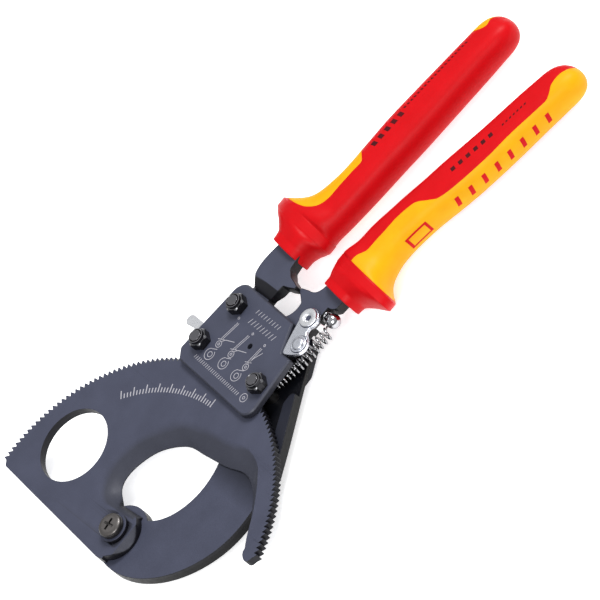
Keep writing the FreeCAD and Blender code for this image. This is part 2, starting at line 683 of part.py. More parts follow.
def retaining_pawl():
    body = new_body("retaining_pawl", level("pawl_level"))
    hub_x, hub_y = bolt_place("left_bolt")
    tip = polar(RETAINING_TIP_DEG, PAWL_TIP_RADIUS)
    heel = polar(RETAINING_TIP_DEG - 1.0, PAWL_TIP_RADIUS + 1.4)
    top = polar(RETAINING_TIP_DEG + 0.2, PAWL_TIP_RADIUS + 4.6)
    outline = new_sketch(body, "outline")
    draw(outline, tip, [
        ("line", heel),
        ("line", (hub_x + 1.4, hub_y - 4.5)),
        ("arc", (hub_x - 2.6, hub_y - 3.9), (hub_x - 4.6, hub_y - 0.4)),
        ("curve", [(hub_x - 8.6, 83.6), (-43.2, 83.8)]),
        ("arc", (-45.7, 86.3), (-43.2, 88.8)),
        ("line", (hub_x - 7.4, 88.6)),
        ("curve", [(hub_x - 3.4, 87.4), (hub_x + 2.2, 86.6)]),
        ("line", top),
    ])
    pad(body, outline, cell("pawl_thickness"))
    holes(body, "bore", [(hub_x, hub_y, "pawl_bore_radius")])
    return keep(body)


def drive_pawl():
    body = new_body("drive_pawl", level("pawl_level"))
    hub_x = SIZES["drive_pin_x"]
    hub_y = SIZES["drive_pin_y"]
    tip = polar(DRIVE_TIP_DEG, PAWL_TIP_RADIUS)
    heel = polar(DRIVE_TIP_DEG - 1.0, PAWL_TIP_RADIUS + 1.4)
    top = polar(DRIVE_TIP_DEG + 0.3, PAWL_TIP_RADIUS + 4.4)
    outline = new_sketch(body, "outline")
    draw(outline, tip, [
        ("line", heel),
        ("line", (hub_x + 0.6, hub_y - 4.5)),
        ("arc", (hub_x - 4.5, hub_y), (hub_x + 1.6, hub_y + 4.2)),
        ("line", (hub_x + 6.8, hub_y + 0.6)),
        ("line", top),
    ])
    pad(body, outline, cell("pawl_thickness"))
    holes(body, "bore", [(hub_x, hub_y, "drive_pin_bore_radius")])
    # The hub is halved at the back and laps over the lug of the handle.
    lap = new_sketch(body, "lap")
    draw_rounded(lap, [(hub_x - 8, hub_y + 8, 0), (hub_x + 6.9, hub_y + 8, 0),
                       (hub_x + 6.9, hub_y - 1.9, 1.5), (hub_x + 6.1, hub_y - 9, 0),
                       (hub_x - 8, hub_y - 9, 0)])
    pocket(body, lap, f"{cell('lap_level')} - {cell('pawl_level')} + 0.1")
    doc.recompute()
    return keep(body)


def drive_pawl_pin():
    pin = cylinder("drive_pawl_pin", cell("drive_pin_radius"), cell("drive_pin_length"),
                   level("moving_level"), cell("drive_pin_x"), cell("drive_pin_y"))
    pin.Label = "drive_pawl_pin"
    return keep(pin)


def leaf_spring(name, inner_line):
    """A bent strip, standing on edge, drawn as a thin closed outline."""
    body = new_body(name, level("pawl_level"))
    outline = new_sketch(body, "outline")
    gauge = SIZES["pawl_spring_thickness"]
    outer_line = []
    for number, (x, y) in enumerate(inner_line):
        before = inner_line[max(number - 1, 0)]
        after = inner_line[min(number + 1, len(inner_line) - 1)]
        run = point(after[0] - before[0], after[1] - before[1]).normalize()
        outer_line.append((x - run.y * gauge, y + run.x * gauge))
    draw(outline, inner_line[0], [("curve", inner_line[1:]), ("line", outer_line[-1]),
                                  ("curve", outer_line[-2::-1])])
    pad(body, outline, cell("pawl_spring_height"))
    return keep(body)


# ---------------------------------------------------------------- closing lock

def lock_lever():
    body = new_body("lock_lever", level("lever_level"))
    outline = new_sketch(body, "outline")
    draw(outline, (9.9, 116.2), [
        ("curve", [(11.6, 109.6), (13.4, 103.2), (14.7, 99.6)]),
        ("arc", (15.4, 98.7), (16.5, 98.55)),
        ("curve", [(19.4, 99.7), (22.4, 101.9), (23.7, 104.8), (22.8, 107.8),
                   (20.4, 109.8)]),
        ("curve", [(18.6, 111.3), (18.5, 113.4)]),
        ("arc", (16.0, 120.75), (9.9, 116.2)),
    ])
    pad(body, outline, cell("lever_thickness"))
    holes(body, "bores", [
        (SIZES["lever_pin_x"], SIZES["lever_pin_y"], "lever_bore_radius"),
        (SIZES["stud_x"], SIZES["stud_y"], "stud_radius")])
    return keep(body)


def lock_lever_rivet():
    spot = {"x": cell("lever_pin_x"), "y": cell("lever_pin_y")}
    top = f"{cell('lever_level')} + {cell('lever_thickness')} + 0.05"
    stem = cylinder("rivet_stem", cell("rivet_radius"),
                    f"{top} - ({cell('moving_shank_level')})",
                    level("moving_shank_level"), **spot)
    flange = cylinder("rivet_flange", cell("rivet_flange_radius"),
                      cell("rivet_flange_height"), f"{cell('rest_lift')} + {top}", **spot)
    bore = cylinder("rivet_bore", cell("rivet_hole_radius"), cell("rest_lift"),
                    level("moving_shank_level"), **spot)
    return keep(cut("lock_lever_rivet", fuse("rivet_solid", [stem, flange]), bore))


def lock_lever_spacer():
    spot = {"x": cell("lever_pin_x"), "y": cell("lever_pin_y")}
    disc = cylinder("spacer_disc", cell("spacer_radius"), f"{cell('lever_level')} - 0.05",
                    cell("rest_lift"), **spot)
    hole = cylinder("spacer_hole", cell("rivet_radius"), cell("lever_level"),
                    cell("rest_lift"), **spot)
    return keep(cut("lock_lever_spacer", disc, hole))


def lock_lever_stud():
    spot = {"x": cell("stud_x"), "y": cell("stud_y")}
    top = f"{cell('lever_level')} + {cell('lever_thickness')}"
    pieces = [
        cylinder("stud_back", cell("stud_back_radius"), cell("stud_back_height"),
                 level("lever_level", f" - {cell('stud_back_height')}"), **spot),
        cylinder("stud_stem", cell("stud_radius"), cell("lever_thickness"),
                 level("lever_level"), **spot),
        cylinder("stud_ring", cell("stud_ring_radius"), cell("stud_ring_height"),
                 f"{cell('rest_lift')} + {top}", **spot),
        cylinder("stud_dome", cell("stud_dome_radius"), cell("stud_dome_height"),
                 f"{cell('rest_lift')} + {top}", **spot)]
    return keep(fuse("lock_lever_stud", pieces))


# ---------------------------------------------------------------- return spring

def spring_ball_stud():
    ball = doc.addObject("Part::Sphere", "stud_ball")
    ball.setExpression("Radius", cell("ball_radius"))
    place(ball, level("ball_level"), cell("ball_x"), cell("ball_y"))
    neck = doc.addObject("Part::Cylinder", "stud_neck")
    neck.setExpression("Radius", cell("neck_radius"))
    neck.setExpression("Height", cell("neck_length"))
    neck.Placement = FreeCAD.Placement(Vector(), FreeCAD.Rotation(Vector(0, 1, 0), 90))
    place(neck, level("ball_level"), f"{cell('ball_x')} - {cell('neck_length')}",
          cell("ball_y"))
    return keep(fuse("spring_ball_stud", [ball, neck]))


def wire_hook(name, start, ring_centre, ring_radius, turn):
    """A straight run from the coil's end to an open ring, both of the spring's wire."""
    eye = doc.addObject("Part::Torus", f"{name}_ring")
    eye.setExpression("Radius1", ring_radius)
    eye.setExpression("Radius2", cell("wire_radius"))
    eye.Angle3 = 300
    eye.Placement = FreeCAD.Placement(ring_centre, turn)
    doc.recompute()
    ring_start = eye.Placement.multVec(Vector(eye.Radius1.Value, 0, 0))
    run = doc.addObject("Part::Cylinder", f"{name}_run")
    run.setExpression("Radius", cell("wire_radius"))
    run.Height = (ring_start - start).Length
    run.Placement = FreeCAD.Placement(start, FreeCAD.Rotation(Vector(0, 0, 1),
                                                              ring_start - start))
    return fuse(name, [eye, run])


def handle_spring():
    """Close coil from the right bolt's sleeve to the ball stud, with a hook at each end."""
    foot = Vector(18.0, 87.2, SIZES["rest_lift"] - 3.4)
    head = Vector(22.2, 117.0, SIZES["rest_lift"] - 3.3)
    helix = doc.addObject("Part::Helix", "spring_helix")
    helix.setExpression("Radius", cell("coil_radius"))
    helix.setExpression("Pitch", cell("coil_pitch"))
    helix.setExpression("Height", cell("coil_length"))
    profile = doc.addObject("Part::Circle", "spring_wire")
    profile.setExpression("Radius", cell("wire_radius"))
    profile.Placement = FreeCAD.Placement(Vector(SIZES["coil_radius"], 0, 0),
                                          FreeCAD.Rotation(Vector(1, 0, 0), 90))
    coil = doc.addObject("Part::Sweep", "spring_coil")
    coil.Sections = [profile]
    coil.Spine = (helix, [])
    coil.Solid = True
    coil.Frenet = True
    lie = FreeCAD.Placement(foot, FreeCAD.Rotation(Vector(0, 0, 1), head - foot))
    coil.Placement = lie

    radius = SIZES["coil_radius"]
    turns = math.radians(360 * SIZES["coil_length"] / SIZES["coil_pitch"])
    coil_end = Vector(radius * math.cos(turns), radius * math.sin(turns), SIZES["coil_length"])
    bolt = Vector(*bolt_place("right_bolt"), foot.z)
    lower = wire_hook("spring_lower_hook", lie.multVec(Vector(radius, 0, 0)), bolt,
                      f"{cell('sleeve_radius')} + {cell('wire_radius')} + 0.1",
                      FreeCAD.Rotation(Vector(0, 0, 1), 80))
    eye = Vector(SIZES["ball_x"] - 4.3, SIZES["ball_y"],
                 SIZES["rest_lift"] + SIZES["ball_level"])
    upper = wire_hook("spring_upper_hook", lie.multVec(coil_end), eye,
                      f"{cell('neck_radius')} + {cell('wire_radius')} + 0.1",
                      FreeCAD.Rotation(Vector(0, -1, 0), Vector(0, 0, 1), Vector(-1, 0, 0)))
    return keep(group("handle_spring", [coil, lower, upper]))


# ---------------------------------------------------------------- the whole tool

moving_blade()
fixed_blade()
front_cover_plate()
rear_cover_plate()
spacer_block()
cover_bolts()
cover_nuts()
bolt_sleeves()
pivot_pieces()
pivot_screw()
fixed_shank = fixed_handle_shank()
fixed_handle_dowel()
moving_shank = moving_handle_shank()
handle_pivot_pin()
grip("fixed", FIXED_STATIONS, FIXED_PAD, -1.5, fixed_shank)
grip("moving", MOVING_STATIONS, MOVING_PAD, -2.5, moving_shank)
retaining_pawl()
drive_pawl()
drive_pawl_pin()
leaf_spring("retaining_pawl_spring", [(-29.6, 92.2), (-26.4, 89.0), (-20.4, 86.6)])
leaf_spring("drive_pawl_spring", [(6.9, 88.9), (5.2, 87.7), (3.7, 87.4)])
lock_lever()
lock_lever_rivet()
lock_lever_spacer()
lock_lever_stud()
spring_ball_stud()
handle_spring()
doc.recompute()

for thing in doc.Objects:
    if "Invalid" in thing.State or "Error" in thing.State:
        raise RuntimeError(f"{thing.Label} failed: {thing.State}")
for thing in exported:
    if thing.Shape.isNull() or not thing.Shape.isValid():
        raise RuntimeError(f"{thing.Label} has no valid shape")

os.makedirs("parts", exist_ok=True)
for thing in exported:
    thing.Shape.exportStep(f"parts/{thing.Label}.step")
    box = thing.Shape.BoundBox
    print(f"{thing.Label:24s} solids {len(thing.Shape.Solids)} volume {thing.Shape.Volume:9.1f}"
          f"  x {box.XMin:7.1f} {box.XMax:7.1f}  y {box.YMin:7.1f} {box.YMax:7.1f}"
          f"  z {box.ZMin:6.2f} {box.ZMax:6.2f}")
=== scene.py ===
import json
import math

import bmesh
import bpy
from mathutils import Matrix, Vector
from mathutils.geometry import tessellate_polygon


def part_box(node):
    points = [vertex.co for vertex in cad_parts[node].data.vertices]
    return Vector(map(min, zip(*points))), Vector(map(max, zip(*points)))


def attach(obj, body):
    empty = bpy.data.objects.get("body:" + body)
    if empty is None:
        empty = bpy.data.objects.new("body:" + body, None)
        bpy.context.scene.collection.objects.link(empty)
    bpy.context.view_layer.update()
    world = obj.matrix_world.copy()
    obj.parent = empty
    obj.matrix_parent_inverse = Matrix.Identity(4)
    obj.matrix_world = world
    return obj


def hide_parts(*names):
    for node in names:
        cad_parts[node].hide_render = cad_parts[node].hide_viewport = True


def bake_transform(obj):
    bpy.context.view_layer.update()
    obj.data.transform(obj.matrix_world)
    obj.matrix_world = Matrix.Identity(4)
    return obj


# A ratchet cable cutter that lies on its back. Places are written in millimetres: x across
# the tool, y from the blades to the grips, and a level that counts up from the front face
# of the moving blade, as in the CAD source. at() turns them into metres in the CAD frame.

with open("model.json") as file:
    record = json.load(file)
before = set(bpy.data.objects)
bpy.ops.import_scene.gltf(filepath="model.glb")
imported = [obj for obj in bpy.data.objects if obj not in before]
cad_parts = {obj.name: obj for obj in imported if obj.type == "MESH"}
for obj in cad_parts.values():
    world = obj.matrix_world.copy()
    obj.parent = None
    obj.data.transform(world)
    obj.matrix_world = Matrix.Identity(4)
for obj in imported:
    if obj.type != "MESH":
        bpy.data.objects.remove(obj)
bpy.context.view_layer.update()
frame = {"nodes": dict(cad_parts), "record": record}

MM = 0.001
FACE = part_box("moving_blade")[1].z


def at(x, y, level=0.0):
    return Vector((x * MM, y * MM, FACE + level * MM))


# ---------------------------------------------------------------- camera, light and floor

CAMERA_PLACE = (3.6341, 0.0196, 3.4517)
CAMERA_TURN = (34.152, 33.893, 48.996)
CAMERA_LENS = 736.3
LIGHT_TARGET = (0.0, 0.09, 0.0)
FLOOR_HALF = 3.0
WORLD_GREYS = [(0.05, 0.08), (0.45, 0.75), (0.9, 1.0)]     # from the horizon to overhead
WORLD_STRENGTH = 0.72


def camera():
    data = bpy.data.cameras.new("camera")
    data.lens = CAMERA_LENS
    data.sensor_width = 36.0
    data.clip_end = 50.0
    eye = bpy.data.objects.new("camera", data)
    eye.location = CAMERA_PLACE
    eye.rotation_euler = [math.radians(angle) for angle in CAMERA_TURN]
    bpy.context.scene.collection.objects.link(eye)
    bpy.context.scene.camera = eye


def area_light(name, place, size, power):
    data = bpy.data.lights.new(name, "AREA")
    data.shape = "DISK"
    data.size = size
    data.energy = power
    lamp = bpy.data.objects.new(name, data)
    lamp.location = place
    lamp.rotation_euler = (Vector(LIGHT_TARGET) - Vector(place)).to_track_quat("-Z", "Y").to_euler()
    bpy.context.scene.collection.objects.link(lamp)


def studio():
    world = bpy.data.worlds.new("studio")
    world.use_nodes = True
    tree = world.node_tree
    spot = tree.nodes.new("ShaderNodeTexCoord")
    height = tree.nodes.new("ShaderNodeSeparateXYZ")
    shade = tree.nodes.new("ShaderNodeValToRGB")
    tree.links.new(spot.outputs["Generated"], height.inputs[0])
    tree.links.new(height.outputs["Z"], shade.inputs["Fac"])
    tree.links.new(shade.outputs["Color"], tree.nodes["Background"].inputs["Color"])
    shade.color_ramp.elements.new(0.5)
    for element, (place, grey) in zip(shade.color_ramp.elements, WORLD_GREYS):
        element.position = place
        element.color = (0.97 * grey, 0.98 * grey, grey, 1)
    tree.nodes["Background"].inputs["Strength"].default_value = WORLD_STRENGTH
    bpy.context.scene.world = world
    area_light("key_light", (-0.2, 1.2, 1.6), 0.8, 34.0)
    area_light("side_light", (1.1, -0.4, 1.2), 0.9, 17.0)
    bpy.context.scene.view_settings.view_transform = "Standard"


# ---------------------------------------------------------------- materials

class Recipe:
    """A node material under construction: its tree, its shader and short ways to add nodes."""

    def __init__(self, name, metallic, roughness):
        self.material = bpy.data.materials.new(name)
        self.material.use_nodes = True
        self.tree = self.material.node_tree
        self.shader = self.tree.nodes["Principled BSDF"]
        self.set("Metallic", metallic)
        self.set("Roughness", roughness)
        self.place = self.add("ShaderNodeTexCoord").outputs

    def set(self, socket, value):
        if isinstance(value, bpy.types.NodeSocket):
            self.tree.links.new(value, self.shader.inputs[socket])
        else:
            self.shader.inputs[socket].default_value = value

    def add(self, kind, inputs=(), **settings):
        made = self.tree.nodes.new(kind)
        for key, value in settings.items():
            setattr(made, key, value)
        for key, value in dict(inputs).items():
            if isinstance(value, bpy.types.NodeSocket):
                self.tree.links.new(value, made.inputs[key])
            else:
                made.inputs[key].default_value = value
        return made

    def noise(self, per_mm, detail=3.0):
        """Noise with about this many features in a millimetre."""
        return self.add("ShaderNodeTexNoise", {"Vector": self.place["Object"], "Detail": detail,
                                               "Scale": per_mm / MM}).outputs["Fac"]

    def ramp(self, factor, stops):
        """A colour or grey ramp from (place, value) stops."""
        made = self.add("ShaderNodeValToRGB", {"Fac": factor})
        bar = made.color_ramp
        while len(bar.elements) < len(stops):
            bar.elements.new(1.0)
        for element, (place, value) in zip(bar.elements, stops):
            element.position = place
            element.color = (*value, 1) if isinstance(value, tuple) else (value,) * 3 + (1,)
        return made.outputs["Color"]

    def blend(self, factor, first, second, mode="MIX"):
        return self.add("ShaderNodeMix", {0: factor, 6: first, 7: second},
                        data_type="RGBA", blend_type=mode).outputs[2]

    def faded(self, tone, axis, start, fade, low, high):
        """The tone times a factor that goes from low to high over fade mm along an axis."""
        place = self.add("ShaderNodeSeparateXYZ", {0: self.place["Object"]}).outputs[axis]
        factor = self.add("ShaderNodeMapRange", {
            "Value": place, "From Min": start, "From Max": start + fade * MM,
            "To Min": low, "To Max": high}).outputs[0]
        return self.blend(1.0, tone, factor, "MULTIPLY")

    def bump(self, height, depth_mm, strength):
        made = self.add("ShaderNodeBump", {"Height": height, "Strength": strength,
                                           "Distance": depth_mm * MM})
        self.set("Normal", made.outputs[0])


WEB_FADE, WEB_PAINTED_SHADE = 0.6, 0.22         # how high the painted shade on the web reaches, and how dark
ARM_FADE, ARM_PAINTED_SHADE = 12, 0.3           # how far along the arm its painted shade sets in, and how dark


def steel(name, side, ground, front, metallic, roughness, gloss=0.3, web_shade_level=None,
          arm_shade_start=None):
    """Dark steel whose tone follows how each face is turned: the sides carry a painted shade that
    stands for the little light reaching them, while ground bevels and flat faces each have their
    own tone.
    Below a given level, and along the arm past a given y, the tone is darkened as painted shade:
    the shade deep in the recessed web and the shadow of the cover plates on the arm."""
    recipe = Recipe(name, metallic, roughness)
    recipe.set("Specular IOR Level", gloss)
    up = recipe.add("ShaderNodeSeparateXYZ", {0: recipe.place["Normal"]}).outputs["Z"]
    facing = recipe.add("ShaderNodeMath", {0: up}, operation="ABSOLUTE").outputs[0]
    # The side tone is a painted shade: faces turned away from the front are darkened in their
    # colour.
    tone = recipe.ramp(facing, [(0.0, side), (0.5, side), (0.72, ground), (0.97, ground),
                                (0.995, front)])
    # Painted shade: darker low in the web and along the arm inside the housing.
    if web_shade_level is not None:
        tone = recipe.faded(tone, "Z", FACE + web_shade_level * MM, WEB_FADE, WEB_PAINTED_SHADE, 1.0)
    if arm_shade_start is not None:
        tone = recipe.faded(tone, "Y", arm_shade_start * MM, ARM_FADE, 1.0, ARM_PAINTED_SHADE)
    cloud = recipe.ramp(recipe.noise(0.09, 4.0), [(0.3, 0.92), (0.7, 1.08)])
    grain = recipe.ramp(recipe.noise(4.0, 2.0), [(0.25, 0.84), (0.75, 1.16)])
    tone = recipe.blend(1.0, tone, cloud, "MULTIPLY")
    recipe.set("Base Color", recipe.blend(1.0, tone, grain, "MULTIPLY"))
    recipe.set("Roughness", recipe.ramp(recipe.noise(0.5, 5.0), [(0.3, roughness - 0.05),
                                                                 (0.7, roughness + 0.07)]))
    recipe.bump(recipe.noise(5.0, 3.0), 0.02, 0.35)
    return recipe.material


def plated(name, colour, roughness, depth_mm=0.01, metallic=1.0):
    """Bright metal with a faint spangle and uneven gloss."""
    recipe = Recipe(name, metallic, roughness)
    shade = recipe.ramp(recipe.noise(1.2, 4.0), [(0.3, 0.88), (0.7, 1.0)])
    recipe.set("Base Color", recipe.blend(1.0, (*colour, 1), shade, "MULTIPLY"))
    recipe.set("Roughness", recipe.ramp(recipe.noise(2.5, 3.0), [(0.3, max(roughness - 0.06, 0)),
                                                                 (0.7, roughness + 0.08)]))
    recipe.bump(recipe.noise(3.0, 3.0), depth_mm, 0.4)
    return recipe.material


def moulded(name, colour, deep, roughness):
    """Satin moulded plastic with the fine spark-eroded grain of its mould."""
    recipe = Recipe(name, 0.0, roughness)
    recipe.set("Specular IOR Level", 0.12)
    mottle = recipe.ramp(recipe.noise(0.12, 3.0), [(0.35, 0.0), (0.65, 1.0)])
    recipe.set("Base Color", recipe.blend(mottle, (*colour, 1), (*deep, 1)))
    recipe.set("Roughness", recipe.ramp(recipe.noise(1.5, 3.0), [(0.3, roughness - 0.05),
                                                                 (0.7, roughness + 0.08)]))
    recipe.set("Subsurface Weight", 0.03)
    recipe.set("Subsurface Radius", (0.002, 0.0006, 0.0004))
    recipe.bump(recipe.noise(2.6, 2.0), 0.05, 0.4)
    return recipe.material


def paper():
    """The plain pale sheet below, lit a little from within like a light table."""
    recipe = Recipe("floor", 0.0, 0.9)
    recipe.set("Specular IOR Level", 0.0)
    recipe.set("Base Color", recipe.ramp(recipe.noise(0.02), [(0.3, 0.84), (0.7, 0.87)]))
    recipe.set("Emission Color", (1.0, 1.0, 1.0, 1.0))
    recipe.set("Emission Strength", 0.62)
    return recipe.material


BLUED = steel("blued_steel", (0.006, 0.006, 0.009), (0.036, 0.038, 0.052),
              (0.049, 0.053, 0.080), 0.03, 0.42, 0.16)
FORGED = steel("forged_steel", (0.005, 0.005, 0.007), (0.008, 0.008, 0.011),
               (0.046, 0.050, 0.076), 0.1, 0.40)
# The fixed blade's web and arm carry the painted shade.
FIXED_BLADE = steel("fixed_blade_steel", (0.005, 0.005, 0.007), (0.036, 0.038, 0.052),
                    (0.046, 0.050, 0.076), 0.03, 0.42, 0.16, web_shade_level=-6.0, arm_shade_start=38)
PLATE = steel("blued_plate", (0.020, 0.021, 0.030), (0.040, 0.043, 0.062),
              (0.046, 0.050, 0.076), 0.1, 0.42)
# On the nuts the sloped chamfer tone is lighter than the flat top: a painted highlight along the
# hex edges.
BLACK_OXIDE = steel("black_oxide", (0.02, 0.02, 0.023), (0.16, 0.16, 0.17),
                    (0.13, 0.13, 0.14), 0.8, 0.2, 0.5)
BURNISHED = steel("burnished_steel", (0.03, 0.028, 0.028), (0.10, 0.092, 0.088),
                  (0.13, 0.12, 0.115), 0.7, 0.32, 0.5)
ZINC = plated("zinc_plate", (0.72, 0.74, 0.80), 0.27)
BRIGHT_ZINC = plated("bright_zinc", (0.93, 0.94, 0.96), 0.3)
GROUND_STEEL = plated("ground_steel", (0.16, 0.155, 0.155), 0.34)
SPRING_WIRE = plated("spring_wire", (0.30, 0.30, 0.31), 0.16)
POLISHED = plated("polished_steel", (0.46, 0.46, 0.48), 0.10, 0.002)
BRONZE = plated("sintered_bronze", (0.60, 0.40, 0.19), 0.4, 0.03)
DARK_THREAD = plated("dark_thread", (0.74, 0.73, 0.76), 0.34)
RED = moulded("red_insulation", (0.48, 0.0014, 0.0042), (0.45, 0.0010, 0.0034), 0.42)
YELLOW = moulded("yellow_insulation", (0.66, 0.32, 0.0022), (0.63, 0.295, 0.0018), 0.46)
ETCHED = plated("laser_mark", (0.36, 0.35, 0.38), 0.5, 0.01, 0.0)
PRINT = moulded("print", (0.05, 0.004, 0.006), (0.07, 0.004, 0.006), 0.6)
FLOOR_WHITE = paper()

SLOT_MATERIALS = {
    "blackened_steel": BLUED, "black_fastener": BLACK_OXIDE, "bright_zinc": ZINC,
    "hardened_steel": GROUND_STEEL, "spring_steel": SPRING_WIRE, "polished_steel": POLISHED,
    "bronze": BRONZE, "red_insulation": RED, "yellow_insulation": YELLOW,
}


# ---------------------------------------------------------------- making pieces

WELD, CAD_WELD = 0.002 * MM, 0.001 * MM
FLAT_ANGLE = math.radians(0.4)          # CAD facets that meet at less are one flat face
CREASE = math.radians(38)               # faces that meet at more than this keep a sharp edge
BEVEL_ANGLE = math.radians(32)          # edges sharper than this are rounded


def new_piece(name, vertices, faces, body, slot, replaced=(), material=None):
    mesh = bpy.data.meshes.new(name)
    mesh.from_pydata([tuple(v) for v in vertices], [], faces)
    made = bmesh.new()
    made.from_mesh(mesh)
    bmesh.ops.remove_doubles(made, verts=made.verts, dist=WELD)
    bmesh.ops.recalc_face_normals(made, faces=made.faces)
    made.to_mesh(mesh)
    made.free()
    mesh.shade_smooth()
    mesh.set_sharp_from_angle(angle=CREASE)
    mesh.materials.append(material or SLOT_MATERIALS[slot])
    piece = bpy.data.objects.new(name, mesh)
    bpy.context.scene.collection.objects.link(piece)
    if body:
        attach(piece, body)
    if replaced:
        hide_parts(*replaced)
    return piece


def sheet_faces(rows, columns, closed=True):
    """Quads between rows of points; closed joins the last column to the first."""
    faces = []
    for row in range(rows - 1):
        for column in range(columns if closed else columns - 1):
            after = (column + 1) % columns
            faces.append((row * columns + column, row * columns + after,
                          (row + 1) * columns + after, (row + 1) * columns + column))
    return faces


def shell_faces(rows, count):
    """Faces of a thin shell: an outer sheet of points, an inner one after it, and the border
    that joins them."""
    total = rows * count
    faces = sheet_faces(rows, count, closed=False)
    faces += [tuple(total + index for index in reversed(face)) for face in faces]
    border = (list(range(count)) + [row * count + count - 1 for row in range(1, rows)]
              + [(rows - 1) * count + column for column in range(count - 2, -1, -1)]
              + [row * count for row in range(rows - 2, 0, -1)])
    faces += [(here, here + total, there + total, there)
              for here, there in zip(border, border[1:] + border[:1])]
    return faces


def turned(profile, centre, steps=64):
    """Points and faces of a solid of revolution about +Z from (radius, height) in mm.
    A profile point may give its radius or height as a function of the angle."""
    points = []
    for radius, height in profile:
        for step in range(steps):
            angle = 2 * math.pi * step / steps
            reach = radius(angle) if callable(radius) else radius
            rise = height(angle) if callable(height) else height
            points.append(centre + Vector((reach * math.cos(angle), reach * math.sin(angle),
                                           rise)) * MM)
    faces = sheet_faces(len(profile), steps)
    faces.append(tuple(range(steps)))
    faces.append(tuple(range((len(profile) - 1) * steps, len(profile) * steps)))
    return points, faces


def joined(solids):
    """One list of points and faces from several."""
    points, faces = [], []
    for more_points, more_faces in solids:
        start = len(points)
        points.extend(more_points)
        faces.extend(tuple(start + index for index in face) for face in more_faces)
    return points, faces


def soften(node, width_mm):
    """Rounds the sharp edges of a CAD node a little, as deburring does."""
    piece = frame["nodes"][node]
    weld = piece.modifiers.new("weld", "WELD")
    weld.merge_threshold = CAD_WELD
    flat = piece.modifiers.new("flat", "DECIMATE")
    flat.decimate_type = "DISSOLVE"
    flat.angle_limit = FLAT_ANGLE
    round_edges(piece, width_mm)


def round_edges(piece, width_mm):
    edge = piece.modifiers.new("edge", "BEVEL")
    edge.width = width_mm * MM
    edge.segments = 2
    edge.limit_method = "ANGLE"
    edge.angle_limit = BEVEL_ANGLE
    edge.use_clamp_overlap = False
    edge.miter_outer = "MITER_ARC"
    shade = piece.modifiers.new("shade", "WEIGHTED_NORMAL")
    shade.keep_sharp = False
    shade.weight = 60


EDGE_WIDTHS = {
    "fixed_blade": 0.2, "front_cover_plate": 0.2, "rear_cover_plate": 0.3, "spacer_block": 0.2,
    "cover_bolts": 0.2, "pivot_lock_nut": 0.3, "pivot_front_washer": 0.2,
    "pivot_rear_washer": 0.2, "fixed_handle_shank": 0.4, "moving_handle_shank": 0.35,
    "retaining_pawl": 0.3, "drive_pawl": 0.2, "lock_lever": 0.35, "lock_lever_spacer": 0.1,
    "bolt_sleeves": 0.1,
}
OWN_MATERIALS = {"fixed_handle_shank": FORGED, "moving_handle_shank": FORGED,
                 "front_cover_plate": PLATE, "fixed_blade": FIXED_BLADE,
                 "retaining_pawl": BRIGHT_ZINC}


def finish_cad_nodes():
    """Every CAD node that stays in view gets its material and softened edges."""
    for subpart in frame["record"]["subparts"]:
        name = subpart["node"]
        piece = frame["nodes"][name]
        piece.data.materials.clear()
        finish = OWN_MATERIALS.get(name, SLOT_MATERIALS[subpart["material_slot"]])
        piece.data.materials.append(finish)
    for node, width in EDGE_WIDTHS.items():
        soften(node, width)


# ---------------------------------------------------------------- toothed blade

TEETH = 94
TOOTH_PITCH = 1.757
FIRST_ROOT = -94.486        # degrees clockwise from +Y
TOOTH_TIP, TOOTH_ROOT = 79.1, 77.3
TOOTH_SHAPE = ((0.0, TOOTH_ROOT), (0.2, TOOTH_TIP), (0.35, TOOTH_TIP))  # share of the pitch
BLADE_BACK, EDGE_LEVEL = -3.9, -3.5
EYE = (-50.7, 16.2, 16.8)
PIVOT_BORE = (0.0, 0.0, 6.05)
BOSS_TOP = 7.9              # where the boss's side bevel meets its front face
BOSS_ROUND = ((-1.2, -1.0), 12.0, 60, -62, 26)      # centre, radius, arc and steps
BOSS_FOOT = (4.6, -12.8)
MOUTH_END = ((4.6, 10.6), (4.6, 7.6))
HEEL = ((1.5, -13.5), (-75.2, -8.2))    # the straight side under the boss and the eye
# From the boss round the mouth to the horn: the edge, and where its grind meets the front face.
CUTTING_EDGE = [(-8.2, 9.5), (-16.0, 15.2), (-17.2, 24), (-12, 36), (-1, 44.6), (11, 46.4),
                (24, 48.0), (36, 50.6), (45.5, 47), (54, 38.8), (65.6, 26.6)]
BEVEL_BORDER = [(-6, 6.4), (-18, 4.4), (-28.5, 13), (-28.5, 30), (-20, 48), (-5, 56.5),
                (13, 58.3), (29, 59.6), (39.5, 57.6), (46, 52.8), (55.6, 42.1), (62.4, 31.9),
                (66.3, 26.8)]
# Round the end of the horn, from the teeth to the cutting edge.
HORN_END = [(72.9, 25.2), (72.2, 23.5), (70.4, 22.8), (67.9, 23.9), (66.4, 25.6)]
HORN_STEPS = 10
GRIND_STEPS = 10
MOUTH_STEPS = 150
CURVE_STEPS = 24
HOLE_STEPS = 72
WIDE_GRIND, HORN_GRIND = 1.9, 1.0       # how hollow the bevel is in the mouth and on the horn
HORN_X, HORN_EASE = 30.0, 12.0          # where the mouth's grind turns into the horn's
RIM_BEVEL = 0.12


def clockwise(degrees, radius):
    angle = math.radians(degrees)
    return radius * math.sin(angle), radius * math.cos(angle)


